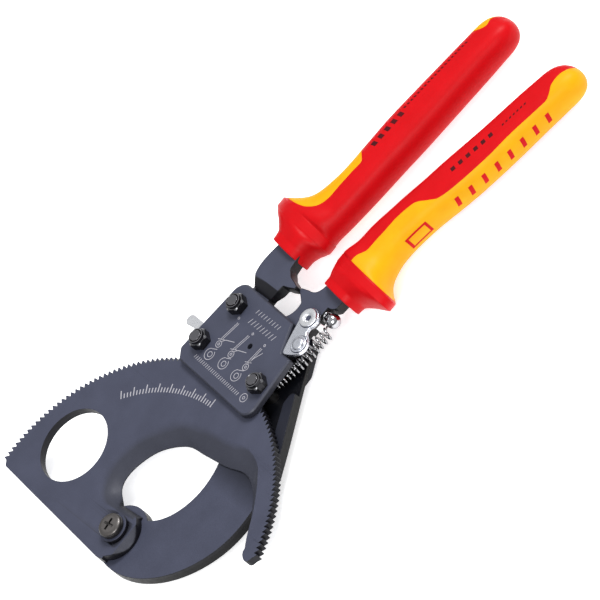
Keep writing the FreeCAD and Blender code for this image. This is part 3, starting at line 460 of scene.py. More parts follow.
def spline(points, steps):
    """A smooth line through the points, with its samples evenly spaced."""
    points = [Vector(p) for p in points]
    ends = [2 * points[0] - points[1], *points, 2 * points[-1] - points[-2]]
    dense = []
    for before, here, there, after in zip(ends, ends[1:], ends[2:], ends[3:]):
        for part in range(CURVE_STEPS):
            t = part / CURVE_STEPS
            dense.append(0.5 * (2 * here + (there - before) * t
                                + (2 * before - 5 * here + 4 * there - after) * t * t
                                + (3 * here - before - 3 * there + after) * t ** 3))
    dense.append(points[-1])
    lengths = [0.0]
    for here, there in zip(dense, dense[1:]):
        lengths.append(lengths[-1] + (there - here).length)
    line = []
    number = 0
    for step in range(steps + 1):
        target = lengths[-1] * step / steps
        while number < len(dense) - 2 and lengths[number + 1] < target:
            number += 1
        share = (target - lengths[number]) / (lengths[number + 1] - lengths[number])
        line.append(dense[number].lerp(dense[number + 1], share))
    return line


def arc(centre, radius, start, end, steps):
    """Points on an arc, in degrees counted anticlockwise from +X."""
    return [(centre[0] + radius * math.cos(math.radians(start + (end - start) * step / steps)),
             centre[1] + radius * math.sin(math.radians(start + (end - start) * step / steps)))
            for step in range(steps + 1)]


def upright(x, y):
    """The same place on every row of the blade's wall."""
    return [(x, y)] * (GRIND_STEPS + 1)


def bevelled(edge, border):
    """From the edge to the border of the grind, one place for each row."""
    return [tuple(edge.lerp(border, row / GRIND_STEPS)) for row in range(GRIND_STEPS + 1)]


def grind_level(row, power):
    return EDGE_LEVEL * (1 - row / GRIND_STEPS) ** power


def blade_columns():
    """The blade's outline as columns of (places, power of the grind), one for each point."""
    columns = []
    for tooth in range(TEETH):
        root = FIRST_ROOT + tooth * TOOTH_PITCH
        for turn, radius in TOOTH_SHAPE:
            columns.append((upright(*clockwise(root + turn * TOOTH_PITCH, radius)), 1.0))
    columns.append((upright(*clockwise(FIRST_ROOT + TEETH * TOOTH_PITCH, TOOTH_ROOT)), 1.0))
    for place in spline(HORN_END, HORN_STEPS)[1:]:
        columns.append((upright(*place), 1.0))
    edge = spline(CUTTING_EDGE, MOUTH_STEPS)
    border = spline(BEVEL_BORDER, MOUTH_STEPS)
    for low, high in zip(reversed(edge), reversed(border)):
        ease = min(1.0, max(0.0, (low.x - HORN_X) / HORN_EASE))
        columns.append((bevelled(low, high), WIDE_GRIND + (HORN_GRIND - WIDE_GRIND) * ease))
    columns.append((bevelled(*[Vector(place) for place in MOUTH_END]), 1.0))
    for x, y in (*arc(*BOSS_ROUND), BOSS_FOOT):
        places = [(min(x, BOSS_TOP - grind_level(row, 1.0)), y) for row in range(GRIND_STEPS + 1)]
        columns.append((places, 1.0))
    for place in HEEL:
        columns.append((upright(*place), 1.0))
    return columns


def weigh_sharp_edges(mesh, bore):
    """Bevel weights for the sharp edges, apart from the bore's, which the washer hides."""
    made = bmesh.new()
    made.from_mesh(mesh)
    weight = made.edges.layers.float.new("bevel_weight_edge")
    for edge in made.edges:
        outside = any(corner.co.xy.length > bore for corner in edge.verts)
        if outside and edge.calc_face_angle(0.0) > BEVEL_ANGLE:
            edge[weight] = 1.0
    made.to_mesh(mesh)
    made.free()


def toothed_blade():
    """The moving blade: toothed rim, eye, horn and hollow ground cutting edge."""
    columns = blade_columns()
    rows = [[at(*places[0], BLADE_BACK) for places, power in columns]]
    for row in range(GRIND_STEPS + 1):
        rows.append([at(*places[row], grind_level(row, power)) for places, power in columns])
    count = len(columns)
    points = [point for row in rows for point in row]
    faces = sheet_faces(len(rows), count)
    holes = [arc(hole[:2], hole[2], 0, 360, HOLE_STEPS)[:-1] for hole in (EYE, PIVOT_BORE)]
    for level, first in ((BLADE_BACK, 0), (0.0, (len(rows) - 1) * count)):
        loops = [points[first:first + count]]
        numbers = list(range(first, first + count))
        for hole in holes:
            numbers += range(len(points), len(points) + len(hole))
            points += [at(x, y, level) for x, y in hole]
            loops.append(points[-len(hole):])
        faces += [tuple(numbers[corner] for corner in face)
                  for face in tessellate_polygon(loops)]
    front = len(points) - sum(len(hole) for hole in holes)
    back = len(rows) * count
    for hole in holes:
        for step in range(len(hole)):
            after = (step + 1) % len(hole)
            faces.append((back + step, back + after, front + after, front + step))
        back += len(hole)
        front += len(hole)
    piece = new_piece("toothed_blade", points, faces, "moving_blade", "blackened_steel",
                      ["moving_blade"])
    weigh_sharp_edges(piece.data, (PIVOT_BORE[2] + 0.5) * MM)
    round_edges(piece, RIM_BEVEL)
    piece.modifiers["edge"].limit_method = "WEIGHT"


# ---------------------------------------------------------------- fasteners

BOLT_PLACES = [(-21.9, 102.8), (-25.9, 82.1), (16.8, 82.2)]
NUT_ACROSS = 8.0
PLATE_FACE = 3.5            # level of the front cover plate's outer face
BOLT_FOOT = 4.4             # level from which a bolt's thread is drawn
THREAD_TURNS, THREAD_PITCH = 4, 0.8
SCREW_SEAT = 1.6            # level under the pivot screw's head
CROSS_TURN = 8              # degrees that the screw's cross is turned
CROSS_ENDS = ((1.6, 0.35, 1.7), (3.0, 0.62, 3.6))   # half length, half width and height
SHADOW_RING_LOW, SHADOW_RING_HIGH = 3.38, 3.43        # levels of the painted shadow rings under the rivet and the stud
RIVET_PLACE = (14.6, 116.2)
STUD_PLACE = (19.7, 105.3)


def hexagon(angle):
    """Distance from the centre of the nut to its flank at this angle."""
    part = (angle + math.pi / 6) % (math.pi / 3) - math.pi / 6
    return NUT_ACROSS / 2 / math.cos(part)


def chamfered(height):
    """Height of a nut's corner cut: full at the flats and lower at the corners."""
    return lambda angle: height - 0.75 * (hexagon(angle) - NUT_ACROSS / 2) - 0.15


def lock_nuts():
    solids = []
    for x, y in BOLT_PLACES:
        profile = [(lambda a: hexagon(a) - 0.3, 0.0), (hexagon, 0.15), (hexagon, chamfered(4.0)),
                   (3.95, 4.0), (3.5, 4.02), (3.42, 4.2), (3.42, 4.95), (3.3, 5.2), (3.0, 5.28),
                   (2.9, 5.2), (2.6, 4.75), (2.55, 4.0)]
        solids.append(turned(profile, at(x, y, PLATE_FACE), 72))
    new_piece("nyloc_nuts", *joined(solids), "frame", "black_fastener", ["cover_nuts"])


def bolt_ends():
    """The threaded end of each cover bolt, seen inside its nut."""
    solids = []
    for x, y in BOLT_PLACES:
        profile = [(2.42, 0.0)]
        for turn in range(THREAD_TURNS):
            rise = turn * THREAD_PITCH
            profile += [(2.46, rise + 0.2), (2.2, rise + 0.6)]
        profile += [(2.42, 3.4), (1.95, 3.9), (1.3, 4.0), (1.0, 3.5), (0.5, 3.4)]
        solids.append(turned(profile, at(x, y, BOLT_FOOT), 40))
    new_piece("bolt_ends", *joined(solids), "frame", "black_fastener", material=DARK_THREAD)


def carved(target, cutter):
    """Cuts one mesh object out of another and removes the cutter."""
    cut = target.modifiers.new("cut", "BOOLEAN")
    cut.object = cutter
    cut.solver = "EXACT"
    shape = target.evaluated_get(bpy.context.evaluated_depsgraph_get())
    mesh = bpy.data.meshes.new_from_object(shape)
    target.modifiers.clear()
    target.data = mesh
    bpy.data.objects.remove(cutter)
    mesh.set_sharp_from_angle(angle=CREASE)


def pivot_head():
    """Domed head with a tapered cross recess, on its stem."""
    profile = [(3.9, -17.1), (3.9, -0.9), (4.0, -0.8), (4.0, 0.0), (4.9, 0.0), (5.45, 0.35),
               (5.5, 0.8), (5.5, 2.1), (5.3, 2.6), (4.7, 3.0), (3.4, 3.22), (1.7, 3.3), (0.2, 3.3)]
    seat = at(0, 0, SCREW_SEAT)
    piece = new_piece("pivot_screw_head", *turned(profile, seat, 72), None, "black_fastener",
                      material=BURNISHED)
    box_faces = [(0, 3, 2, 1), (4, 5, 6, 7), (0, 1, 5, 4), (1, 2, 6, 5), (2, 3, 7, 6),
                 (3, 0, 4, 7)]
    for turn in (0, 90):
        arm = []
        spin = Matrix.Rotation(math.radians(turn + CROSS_TURN), 3, "Z")
        for half_long, half_wide, rise in CROSS_ENDS:
            for sx, sy in ((-1, -1), (1, -1), (1, 1), (-1, 1)):
                corner = spin @ Vector((sx * half_long, sy * half_wide, rise)) * MM
                arm.append(seat + corner)
        carved(piece, new_piece("recess_cutter", arm, box_faces, None, "black_fastener"))
    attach(piece, "frame")
    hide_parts("pivot_screw")


def lever_fittings():
    """The hollow rivet that the lock lever turns on, the lever's domed stud, and a dark ring round
    each head that paints the shadow under it."""
    rivet = [(1.98, -5.0), (1.98, 3.2), (2.0, 3.42), (3.9, 3.46), (4.2, 3.62), (4.2, 3.95),
             (4.0, 4.22), (3.5, 4.34), (2.4, 4.34), (1.75, 4.1), (1.35, 3.6), (1.2, 3.0),
             (1.2, -4.9)]
    new_piece("hollow_rivet", *turned(rivet, at(*RIVET_PLACE)), "moving_handle",
              "bright_zinc", ["lock_lever_rivet"], BRIGHT_ZINC)
    stud = [(2.6, 0.5), (2.8, 0.7), (2.8, 1.38), (1.8, 1.42), (1.8, 3.38), (3.6, 3.41),
            (3.75, 3.6), (3.7, 3.9), (3.45, 4.02), (3.1, 3.98), (2.95, 3.9), (2.8, 4.35),
            (2.45, 4.68), (1.9, 4.86), (1.1, 4.9), (0.2, 4.82)]
    new_piece("domed_stud", *turned(stud, at(*STUD_PLACE)), "lock_lever",
              "bright_zinc", ["lock_lever_stud"])
    # Each ring is a thin dark sheet put where the head shades the lever: a painted shadow.
    for name, place, radius, body in (("rivet_shadow_ring", RIVET_PLACE, 4.2, "moving_handle"),
                                      ("stud_seat", STUD_PLACE, 3.75, "lock_lever")):
        inside, outside = radius - 0.4, radius + 0.3
        seat = [(inside, SHADOW_RING_LOW), (outside, SHADOW_RING_LOW), (outside, SHADOW_RING_HIGH),
                (inside, SHADOW_RING_HIGH)]
        new_piece(name, *turned(seat, at(*place)), body, "black_fastener", material=FORGED)


# ---------------------------------------------------------------- pawl springs

PAWL_SPRING_GAUGE = 0.5
PAWL_SPRING_BACK = -3.75
PAWL_SPRING_FRONT = PAWL_SPRING_BACK + 2.4
STRIP_STEPS = 12


def leaf_spring(node, line):
    """A bent strip standing on edge, whose free end its pawl presses on; it is drawn in one fixed
    shape.
    """
    inner = spline(line, STRIP_STEPS)
    points = []
    for number, place in enumerate(inner):
        run = inner[min(number + 1, STRIP_STEPS)] - inner[max(number - 1, 0)]
        outer = place + Vector((-run.y, run.x)).normalized() * PAWL_SPRING_GAUGE
        points += [at(*place, PAWL_SPRING_BACK), at(*outer, PAWL_SPRING_BACK),
                   at(*outer, PAWL_SPRING_FRONT), at(*place, PAWL_SPRING_FRONT)]
    tip = 4 * STRIP_STEPS
    faces = sheet_faces(STRIP_STEPS + 1, 4) + [(0, 1, 2, 3), (tip + 3, tip + 2, tip + 1, tip)]
    piece = new_piece(node + "_strip", points, faces, None, "spring_steel")
    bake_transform(piece)
    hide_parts(node)


# ---------------------------------------------------------------- return spring

SPRING_FOOT = at(18.0, 87.2, -3.4)
SPRING_HEAD = at(22.2, 117.0, -3.3)
SPRING_BOW = 0.7
COIL_RADIUS = 2.45
COIL_TURNS = 13.5
WIRE_RADIUS = 0.5
TURN_STEPS = 24
STRETCH = 1.12              # the upper turns stand further apart
SLEEVE_RADIUS, NECK_RADIUS = 3.0, 1.5   # what the lower and the upper ring are bent round
SLEEVE_GAP, NECK_GAP = 0.1, 0.05
UPPER_EYE = at(16.7, 121.5, -2.5)
LOWER_RING, UPPER_RING = (290, 75, 19), (-60, 210, 15)      # first and last degree, and steps
AXIS_LOOK = 0.01            # share of the coil over which its direction is taken


def spring_axis(share):
    """A point on the coil's axis, which bows outwards a little."""
    point = SPRING_FOOT.lerp(SPRING_HEAD, share)
    return point + Vector((SPRING_BOW * math.sin(math.pi * share), 0.0, 0.0)) * MM


def spring_line():
    """The wire's centre line: lower ring, coil and upper ring."""
    bolt = Vector((*[v * MM for v in BOLT_PLACES[2]], SPRING_FOOT.z))
    ring = (SLEEVE_RADIUS + WIRE_RADIUS + SLEEVE_GAP) * MM
    points = [bolt + Vector((x, y, 0)) for x, y in arc((0, 0), ring, *LOWER_RING)]
    steps = int(COIL_TURNS * TURN_STEPS)
    for step in range(steps + 1):
        share = step / steps
        spread = share ** STRETCH
        ahead = spring_axis(min(1.0, spread + AXIS_LOOK))
        behind = spring_axis(max(0.0, spread - AXIS_LOOK))
        along = (ahead - behind).normalized()
        across = along.cross(Vector((0, 0, 1))).normalized()
        up = across.cross(along)
        angle = 2 * math.pi * COIL_TURNS * share
        points.append(spring_axis(spread) + (across * math.cos(angle) + up * math.sin(angle))
                      * COIL_RADIUS * MM)
    ring = (NECK_RADIUS + WIRE_RADIUS + NECK_GAP) * MM
    return points + [UPPER_EYE + Vector((0, -x, y)) for x, y in arc((0, 0), ring, *UPPER_RING)]


def return_spring():
    """One wire, drawn as a tube round its line."""
    line = spring_line()
    data = bpy.data.curves.new("return_spring", "CURVE")
    data.dimensions = "3D"
    data.bevel_depth = WIRE_RADIUS * MM
    data.bevel_resolution = 3
    data.use_fill_caps = True
    path = data.splines.new("POLY")
    path.points.add(len(line) - 1)
    for spot, place in zip(path.points, line):
        spot.co = (*place, 1)
    wire = bpy.data.objects.new("return_spring_wire", data)
    bpy.context.scene.collection.objects.link(wire)
    shape = wire.evaluated_get(bpy.context.evaluated_depsgraph_get())
    mesh = bpy.data.meshes.new_from_object(shape)
    bpy.data.objects.remove(wire)
    mesh.shade_smooth()
    mesh.materials.clear()
    mesh.materials.append(SPRING_WIRE)
    piece = bpy.data.objects.new("return_spring", mesh)
    bpy.context.scene.collection.objects.link(piece)
    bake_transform(piece)
    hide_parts("handle_spring")


# ---------------------------------------------------------------- grips

# A grip's stations are (y, centre x, half width, half thickness), below the guard's rim and
# above it. "rim" holds the two y of the rim, and "front" the y where the guard's front starts
# to rise, the y where it has come down again and its half thickness.
GRIPS = {
    "fixed": {
        "level": -1.5, "side": -1, "rim": (143.6, 148.0), "front": (136, 158, 10.2),
        "lower": [(132.2, -22.8, 10.2, 8.0), (136, -23.0, 10.6, 8.1), (139.6, -24.4, 13.4, 9.4),
                  (141.8, -25.7, 16.6, 11.4), (143.6, -26.7, 19.3, 13.9)],
        "upper": [(148.0, -26.7, 19.3, 13.9), (149.5, -24.6, 16.8, 10.8),
                  (152, -21.9, 14.3, 9.2), (156, -19.2, 12.2, 8.6), (162, -17.2, 10.9, 8.35),
                  (175, -15.1, 10.2, 8.3), (190, -14.1, 10.7, 8.35), (200, -13.3, 11.1, 8.35),
                  (220, -11.3, 10.6, 8.3), (240, -9.2, 9.9, 8.2), (250, -8.2, 9.6, 7.9),
                  (263.3, -6.6, 9.3, 7.6)],
    },
    "moving": {
        "level": -2.5, "side": 1, "rim": (140.2, 144.2), "front": (134, 154, 10.2),
        "lower": [(130.6, 16.3, 10.2, 8.0), (134.0, 16.7, 10.6, 8.1), (136.6, 18.0, 13.2, 9.2),
                  (138.8, 19.8, 16.6, 11.2), (140.2, 21.0, 19.6, 13.4)],
        "upper": [(144.2, 21.0, 19.6, 13.4), (146, 19.7, 16.6, 10.4), (149, 18.5, 13.8, 9.1),
                  (153, 18.0, 12.0, 8.6), (158, 17.8, 11, 8.4), (175, 20.6, 10.2, 8.35),
                  (190, 24.85, 10.7, 8.35), (200, 27.45, 11.1, 8.35), (220, 32.3, 10.5, 8.3),
                  (240, 36.4, 9.9, 8.2), (250, 38.65, 9.7, 7.9), (263.3, 41.5, 9.4, 7.6)],
    },
}
DOME_START, TIP = 250.0, 263.3          # between which the dome closes the grip
PLAIN_HALF = 8.35           # a grip's half thickness on the front, away from its guard
RIM_ROUND = 0.3
GUARD_TILT = -0.09          # the guard's plane leans this much along y for each mm of x
TILT_END, TILT_EASE = 168, 18           # where the lean has faded out, and over what length
FRONT_POWER = 3.6           # a high power gives the section a flat front and back
GUARD_POWER = 1.8           # the guard's front is more like a roof
GUARD_START, GUARD_EASE = 8.6, 4.4      # the half thickness where that begins, and its span
SIDE_POWER = 1.8
SECTION_FIT = 0.96
DOME_POWER = 3.2
PAD_PROUD = 0.1
SECTION_HALVINGS = 24
COLLAR_STEPS, RIM_STEPS, DOME_STEPS = 24, 4, 18
FINE_GAP, MIDDLE_GAP, COARSE_GAP = 0.35, 0.8, 1.5       # between the rows above the rim
FINE_LENGTH, MIDDLE_END = 4, 190        # fine ones this far past the rim, middle up to this y
TIP_GAP = 0.002             # the last row stays this much short of the tip


def monotone(points, y):
    """A smooth curve through (y, value) points that never overshoots between them."""
    slopes = [(b[1] - a[1]) / (b[0] - a[0]) for a, b in zip(points, points[1:])]
    ends = [slopes[0]] + [0.0 if s * t <= 0 else 2 * s * t / (s + t)
                          for s, t in zip(slopes, slopes[1:])] + [slopes[-1]]
    y = min(max(y, points[0][0]), points[-1][0])
    number = max(i for i in range(len(slopes)) if points[i][0] <= y)
    (y0, v0), (y1, v1) = points[number], points[number + 1]
    span = y1 - y0
    t = (y - y0) / span
    return (v0 * (1 + 2 * t) * (1 - t) ** 2 + v1 * t * t * (3 - 2 * t)
            + span * t * (1 - t) * (ends[number] * (1 - t) - ends[number + 1] * t))


def unit_section(turn, front_power):
    """A point of the section, (across, up) from -1 to 1, in this direction in degrees."""
    cosine = math.cos(math.radians(turn))
    sine = math.sin(math.radians(turn))
    low, high = 0.5, 1.5
    for _ in range(SECTION_HALVINGS):
        reach = (low + high) / 2
        if abs(reach * cosine) ** front_power + abs(reach * sine) ** SIDE_POWER > 1:
            high = reach
        else:
            low = reach
    return reach * cosine, reach * sine


def grip_row(grip, y, table):
    """Centre x, half width, and half thickness to the back and to the front, at y."""
    stations = grip[table]
    values = [monotone([(s[0], s[column]) for s in stations], y) for column in (1, 2, 3)]
    rim_low, rim_high = grip["rim"]
    foot, top, guard = grip["front"]
    rise = min(1.0, max(0.0, (y - foot) / (rim_low - foot)))
    fall = min(1.0, max(0.0, (top - y) / (top - rim_high)))
    ease = min(rise, fall)
    plain = min(values[2], PLAIN_HALF)
    values.append(plain + (guard - plain) * ease * ease * (3 - 2 * ease))
    if y > DOME_START:
        share = min(1.0, (y - DOME_START) / (TIP - DOME_START))
        shrink = math.sqrt(max(0.0, 1 - share ** DOME_POWER))
        values[1:] = [value * shrink for value in values[1:]]
    return values


def grip_point(grip, row, turn, proud=0.0):
    """A point on a grip; turn is 0 on the outer side of the tool and 90 on the front."""
    y, centre, width, back, front = row
    guard = min(1.0, max(0.0, (back - GUARD_START) / GUARD_EASE))
    across, up = unit_section(turn, FRONT_POWER + (GUARD_POWER - FRONT_POWER) * guard)
    thickness = front if up > 0 else back
    x = across * grip["side"] * (width * SECTION_FIT + proud)
    ease = min(1.0, max(0.0, (TILT_END - y) / TILT_EASE))
    lean = GUARD_TILT * ease * x
    return at(centre + x, y + lean, grip["level"] + up * (thickness * SECTION_FIT + proud))


def rim_row(row, step):
    """How far along one of the rows lies that round off the rim, and the row without its y."""
    turn = math.pi / 2 * step / RIM_STEPS
    sink = RIM_ROUND * (1 - math.sin(turn))
    along = RIM_ROUND * (1 - math.cos(turn))
    return along, (row[1], row[2] - sink, row[3] - sink, row[4])


def grip_rows(grip):
    """Rows (y, centre, half width, back, front) from the collar to the tip."""
    rim_low, rim_high = grip["rim"]
    rows = []
    start = grip["lower"][0][0]
    for step in range(COLLAR_STEPS + 1):
        y = start + (rim_low - start) * step / COLLAR_STEPS
        rows.append((y, *grip_row(grip, y, "lower")))
    low_row, high_row = rows.pop(), (rim_high, *grip_row(grip, rim_high, "upper"))
    for step in range(RIM_STEPS + 1):
        along, row = rim_row(low_row, step)
        rows.append((rim_low + along, *row))
    for step in range(RIM_STEPS, -1, -1):
        along, row = rim_row(high_row, step)
        rows.append((rim_high - along, *row))
    y = rim_high
    while y < DOME_START:
        fine, middle = y < rim_high + FINE_LENGTH, y < MIDDLE_END
        y = min(y + (FINE_GAP if fine else MIDDLE_GAP if middle else COARSE_GAP), DOME_START)
        rows.append((y, *grip_row(grip, y, "upper")))
    for step in range(1, DOME_STEPS + 1):
        y = DOME_START + (TIP - DOME_START) * math.sin(math.pi / 2 * step / DOME_STEPS)
        rows.append((min(y, TIP - TIP_GAP), *grip_row(grip, y, "upper")))
    return rows


GRIP_COLUMNS = 96
COLLAR_MOUTH = ((0.6, 2.6), (0.05, 2.0), (0.0, 0.6), (0.1, 0.15))   # (along, inward) in mm
COLLAR_EDGE = 0.4           # how far along the collar has its full width


def grip_body(name, body):
    """The red part: the whole form, from the collar round the shank to the dome."""
    grip = GRIPS[name]
    rows = grip_rows(grip)
    start = rows[0]
    mouth = [(start[0] + along, start[1], *[value - sink for value in start[2:]])
             for along, sink in COLLAR_MOUTH]
    rows = mouth + [(start[0] + COLLAR_EDGE, *start[1:])] + rows[1:]
    points = [grip_point(grip, row, 360 * column / GRIP_COLUMNS)
              for row in rows for column in range(GRIP_COLUMNS)]
    faces = sheet_faces(len(rows), GRIP_COLUMNS)
    faces.append(tuple(range(GRIP_COLUMNS)))
    last = (len(rows) - 1) * GRIP_COLUMNS
    faces.append(tuple(range(last, last + GRIP_COLUMNS)))
    new_piece(f"{name}_grip_red", points, faces, body, "red_insulation",
              [f"{name}_grip_core"])


# Where the yellow pad ends on the front of each grip, as (y, direction in degrees).
PAD_EDGES = {
    "fixed": [(148.4, 36), (149.7, 75), (151.5, 88), (155, 94), (159, 94), (167, 87), (175, 84),
              (179.5, 86), (182, 72), (184.5, 48), (190, 38), (244, 38), (249, 50), (252, 72),
              (255, 80), (259, 62), (263.3, 48)],
    "moving": [(144.5, 106), (148.4, 101), (153, 90), (162, 86), (172, 91), (179, 88), (184, 65),
               (187, 54), (193, 51), (211, 51), (225, 54), (240, 52), (244, 52), (247.5, 61),
               (251.5, 79), (256.5, 88), (263.3, 92)],
}
PAD_COLUMNS = 40
PAD_DEPTH = 1.2
PAD_BORDER = 2.2            # degrees over which the pad's border is rounded
PAD_SINK = 0.25


def grip_pad(name, body):
    """The yellow part: a skin let into the outer side, with a rounded border."""
    grip = GRIPS[name]
    edge = PAD_EDGES[name]
    rows = [row for row in grip_rows(grip) if row[0] >= edge[0][0]]
    outer, inner = [], []
    for number, row in enumerate(rows):
        spread = monotone(edge, row[0])
        for column in range(PAD_COLUMNS + 1):
            share = 2 * column / PAD_COLUMNS - 1
            turn = spread * share
            rim = min(1.0, (1 - abs(share)) * spread / PAD_BORDER, number / 2)
            proud = PAD_PROUD * math.sqrt(max(0.0, 1 - (1 - rim) ** 2)) if rim > 0 else -PAD_SINK
            outer.append(grip_point(grip, row, turn, proud))
            depth = min(PAD_DEPTH, 0.5 * row[3])
            inner.append(grip_point(grip, row, turn, -depth))
    faces = shell_faces(len(rows), PAD_COLUMNS + 1)
    new_piece(f"{name}_grip_yellow", outer + inner, faces, body, "yellow_insulation",
              [f"{name}_grip_pad"])


# ---------------------------------------------------------------- plain marks on the grips

PATCH_SINK = 0.3            # how far a mark reaches into its grip
BAR_TURNS = (-8, 24)        # directions that the bars reach between
SIGN_LOW, SIGN_HIGH = 165, 176.3        # the y that the plain frame reaches between
SIGN_TURNS = (-18, 26)
SIGN_LINE, SIGN_SIDE = 1.3, 6           # width of its lines, in mm along y and in degrees
# Rows of dashes: name, grip, body, direction, places, length, spread in degrees.
DASHES = [("fixed", "fixed", "frame", 76, range(188, 208, 4), 2.1, 15),
          ("fixed_fine", "fixed", "frame", 70, range(208, 246, 2), 1.0, 5),
          ("moving", "moving", "moving_handle", 88, range(199, 223, 4), 2.0, 12),
          ("moving_fine", "moving", "moving_handle", 86, range(226, 240, 2), 1.0, 5)]


def grip_patch(grip, start, end, turn_low, turn_high, lean=0.0, proud=0.16):
    """A thin raised patch on a grip between two y places and two directions."""
    columns, rows = 4, 3
    points = []
    for height in (proud, -PATCH_SINK):
        for row in range(rows + 1):
            for column in range(columns + 1):
                turn = turn_low + (turn_high - turn_low) * column / columns
                y = start + (end - start) * row / rows + lean * (column / columns - 0.5)
                points.append(grip_point(grip, (y, *grip_row(grip, y, "upper")), turn, height))
    return points, shell_faces(rows + 1, columns + 1)


def grip_marks():
    """Plain red bars and one frame on the yellow pad, and small dark dashes on the red."""
    moving = GRIPS["moving"]
    left, right = SIGN_TURNS
    bars = [grip_patch(moving, y, y + 2.0, *BAR_TURNS, 1.2) for y in range(190, 240, 7)]
    bars += [grip_patch(moving, SIGN_LOW, SIGN_LOW + SIGN_LINE, left, right),
             grip_patch(moving, SIGN_HIGH - SIGN_LINE, SIGN_HIGH, left, right),
             grip_patch(moving, SIGN_LOW, SIGN_HIGH, left, left + SIGN_SIDE),
             grip_patch(moving, SIGN_LOW, SIGN_HIGH, right - SIGN_SIDE, right)]
    new_piece("moving_grip_bars", *joined(bars), "moving_handle", "red_insulation")
    for name, grip, body, turn, places, length, spread in DASHES:
        strokes = [grip_patch(GRIPS[grip], y, y + length, turn - spread / 2, turn + spread / 2,
                              0.5, 0.03) for y in places]
        new_piece(f"{name}_dashes", *joined(strokes), body, "black_fastener", material=PRINT)


# ---------------------------------------------------------------- etched marks

MARK_HEIGHT = 0.02


def ribbon(points, level, width):
    """A thin flat strip along a line of (x, y) points, lying on a face at this level."""
    corners, faces = [], []
    for number, (x, y) in enumerate(points):
        before = points[max(number - 1, 0)]
        after = points[min(number + 1, len(points) - 1)]
        run = Vector((after[0] - before[0], after[1] - before[1])).normalized() * width / 2
        for side, rise in ((1, 0.0), (-1, 0.0), (-1, MARK_HEIGHT), (1, MARK_HEIGHT)):
            corners.append(at(x - run.y * side, y + run.x * side, level + rise))
    for number in range(len(points) - 1):
        start = 4 * number
        faces += [(start + a, start + (a + 1) % 4, start + 4 + (a + 1) % 4, start + 4 + a)
                  for a in range(4)]
    end = 4 * (len(points) - 1)
    faces += [(3, 2, 1, 0), (end, end + 1, end + 2, end + 3)]
    return corners, faces


def ring_line(x, y, radius, start=0, sweep=360, steps=28):
    return arc((x, y), radius, start, start + sweep, steps)


LINE_WIDTH = 0.27
SCALE_START, SCALE_STEP, SCALE_STROKES = 91.5, 1.42, 33     # in degrees from +X
SCALE_RADIUS, LONG_STROKE, SHORT_STROKE = 62.9, 4.0, 2.2

# Each sketch of the tool: ends of the fixed handle, its joint, end of the moving handle and
# middle of the blade's head.
SKETCHES = [((-16.3, 97.1), (-18.2, 87.6), (-10.6, 89.9), (-17.9, 79.9)),
            ((-6.7, 95.6), (-8.7, 87.4), (-1.2, 89.5), (-8.0, 80.3)),
            ((3.8, 94.7), (2.8, 86.9), (6.6, 93.5), (2.3, 79.6))]


def tool_sketch(top, joint, hand, head):
    """A line drawing of a cutter: two handles, a joint, a round head and its small plates."""
    joint, hand, head = Vector(joint), Vector(hand), Vector(head)
    run = (hand - joint).normalized()
    strips = [[top, tuple(joint)], [(top[0] + 0.9, top[1]), (joint.x + 0.9, joint.y)],
              [tuple(joint + Vector((0.6, -1.2))), tuple(joint + run * 3), tuple(hand)],
              ring_line(joint.x + 0.9, joint.y - 2.2, 1.5),
              ring_line(joint.x + 0.9, joint.y - 2.2, 0.5),
              ring_line(head.x, head.y, 2.6, 110, 300), ring_line(head.x + 0.3, head.y, 1.2)]
    low = head + Vector((0.6, 2.2))
    strips.append([tuple(low + Vector((-1.2, 0.2))), tuple(low + Vector((1.4, 1.2)))])
    strips.append([tuple(joint + Vector((-1.4, -0.6))), tuple(joint + Vector((2.2, 0.6)))])
    return strips


def dashes(start, end, count, height, slant):
    """A row of short strokes between two points, like plain tally marks."""
    start, end = Vector(start), Vector(end)
    up = Vector((-(end - start).y, (end - start).x)).normalized() * height
    lean = (end - start).normalized() * slant
    strips = []
    for step in range(count):
        foot = start.lerp(end, step / (count - 1))
        strips.append([tuple(foot), tuple(foot + up + lean)])
    return strips


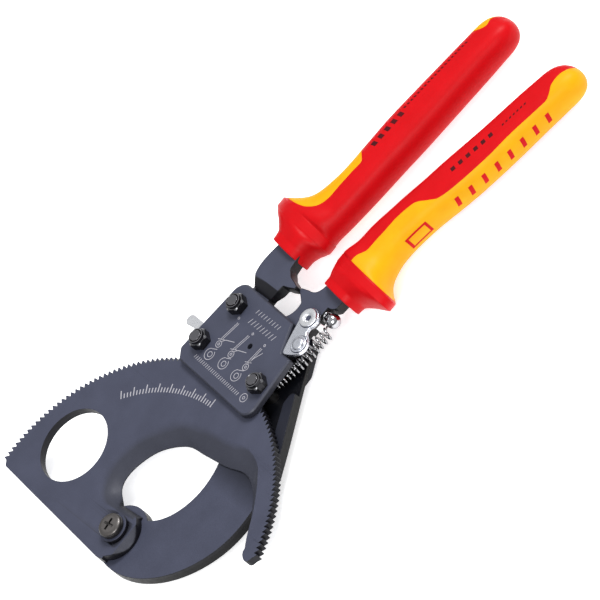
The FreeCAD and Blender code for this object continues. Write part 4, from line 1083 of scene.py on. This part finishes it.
def cover_plate_marks():
    """Three small sketches of the tool's positions and rows of plain strokes."""
    strips = []
    for sketch in SKETCHES:
        strips += tool_sketch(*sketch)
    for x, y in ((-17.6, 98.8), (-5.2, 97.2), (4.6, 96.4)):
        strips.append(ring_line(x, y, 0.5, steps=10))
    strips += dashes((-23.9, 74.9), (9.7, 73.3), 27, 1.7, 0.3)
    strips += dashes((-11.6, 104.6), (4.4, 104.6), 9, 2.0, 0.6)
    strips += dashes((-11.6, 99.6), (5.6, 99.6), 9, 2.6, 1.0)
    strips += [ring_line(14.2, 74.4, 1.9), ring_line(14.2, 74.4, 0.6)]
    parts = [ribbon(strip, PLATE_FACE, LINE_WIDTH) for strip in strips]
    new_piece("cover_plate_marks", *joined(parts), "frame", "hardened_steel", material=ETCHED)


def blade_marks():
    """A plain curved scale between the eye and the housing: every fourth stroke is long."""
    parts = []
    for step in range(SCALE_STROKES):
        angle = math.radians(SCALE_START + step * SCALE_STEP)
        outer = SCALE_RADIUS + (LONG_STROKE if step % 4 == 0 else SHORT_STROKE)
        parts.append(ribbon([(reach * math.cos(angle), reach * math.sin(angle))
                             for reach in (SCALE_RADIUS, outer)], 0.0, 0.5))
    new_piece("blade_scale_marks", *joined(parts), "moving_blade", "hardened_steel",
              material=ETCHED)


# ---------------------------------------------------------------- floor

def floor():
    corners = [Vector((x, y, 0)) for x, y in ((-1, -1), (1, -1), (1, 1), (-1, 1))]
    piece = new_piece("floor", [c * FLOOR_HALF for c in corners], [(0, 1, 2, 3)], None, "",
                      material=FLOOR_WHITE)


camera()
studio()
floor()
finish_cad_nodes()
toothed_blade()
lock_nuts()
bolt_ends()
pivot_head()
lever_fittings()
leaf_spring("retaining_pawl_spring", [(-29.6, 92.2), (-26.4, 89.0), (-20.4, 86.6)])
leaf_spring("drive_pawl_spring", [(6.9, 88.9), (5.2, 87.7), (3.7, 87.4)])
return_spring()
for part in (grip_body, grip_pad):
    part("fixed", "frame")
    part("moving", "moving_handle")
grip_marks()
cover_plate_marks()
blade_marks()
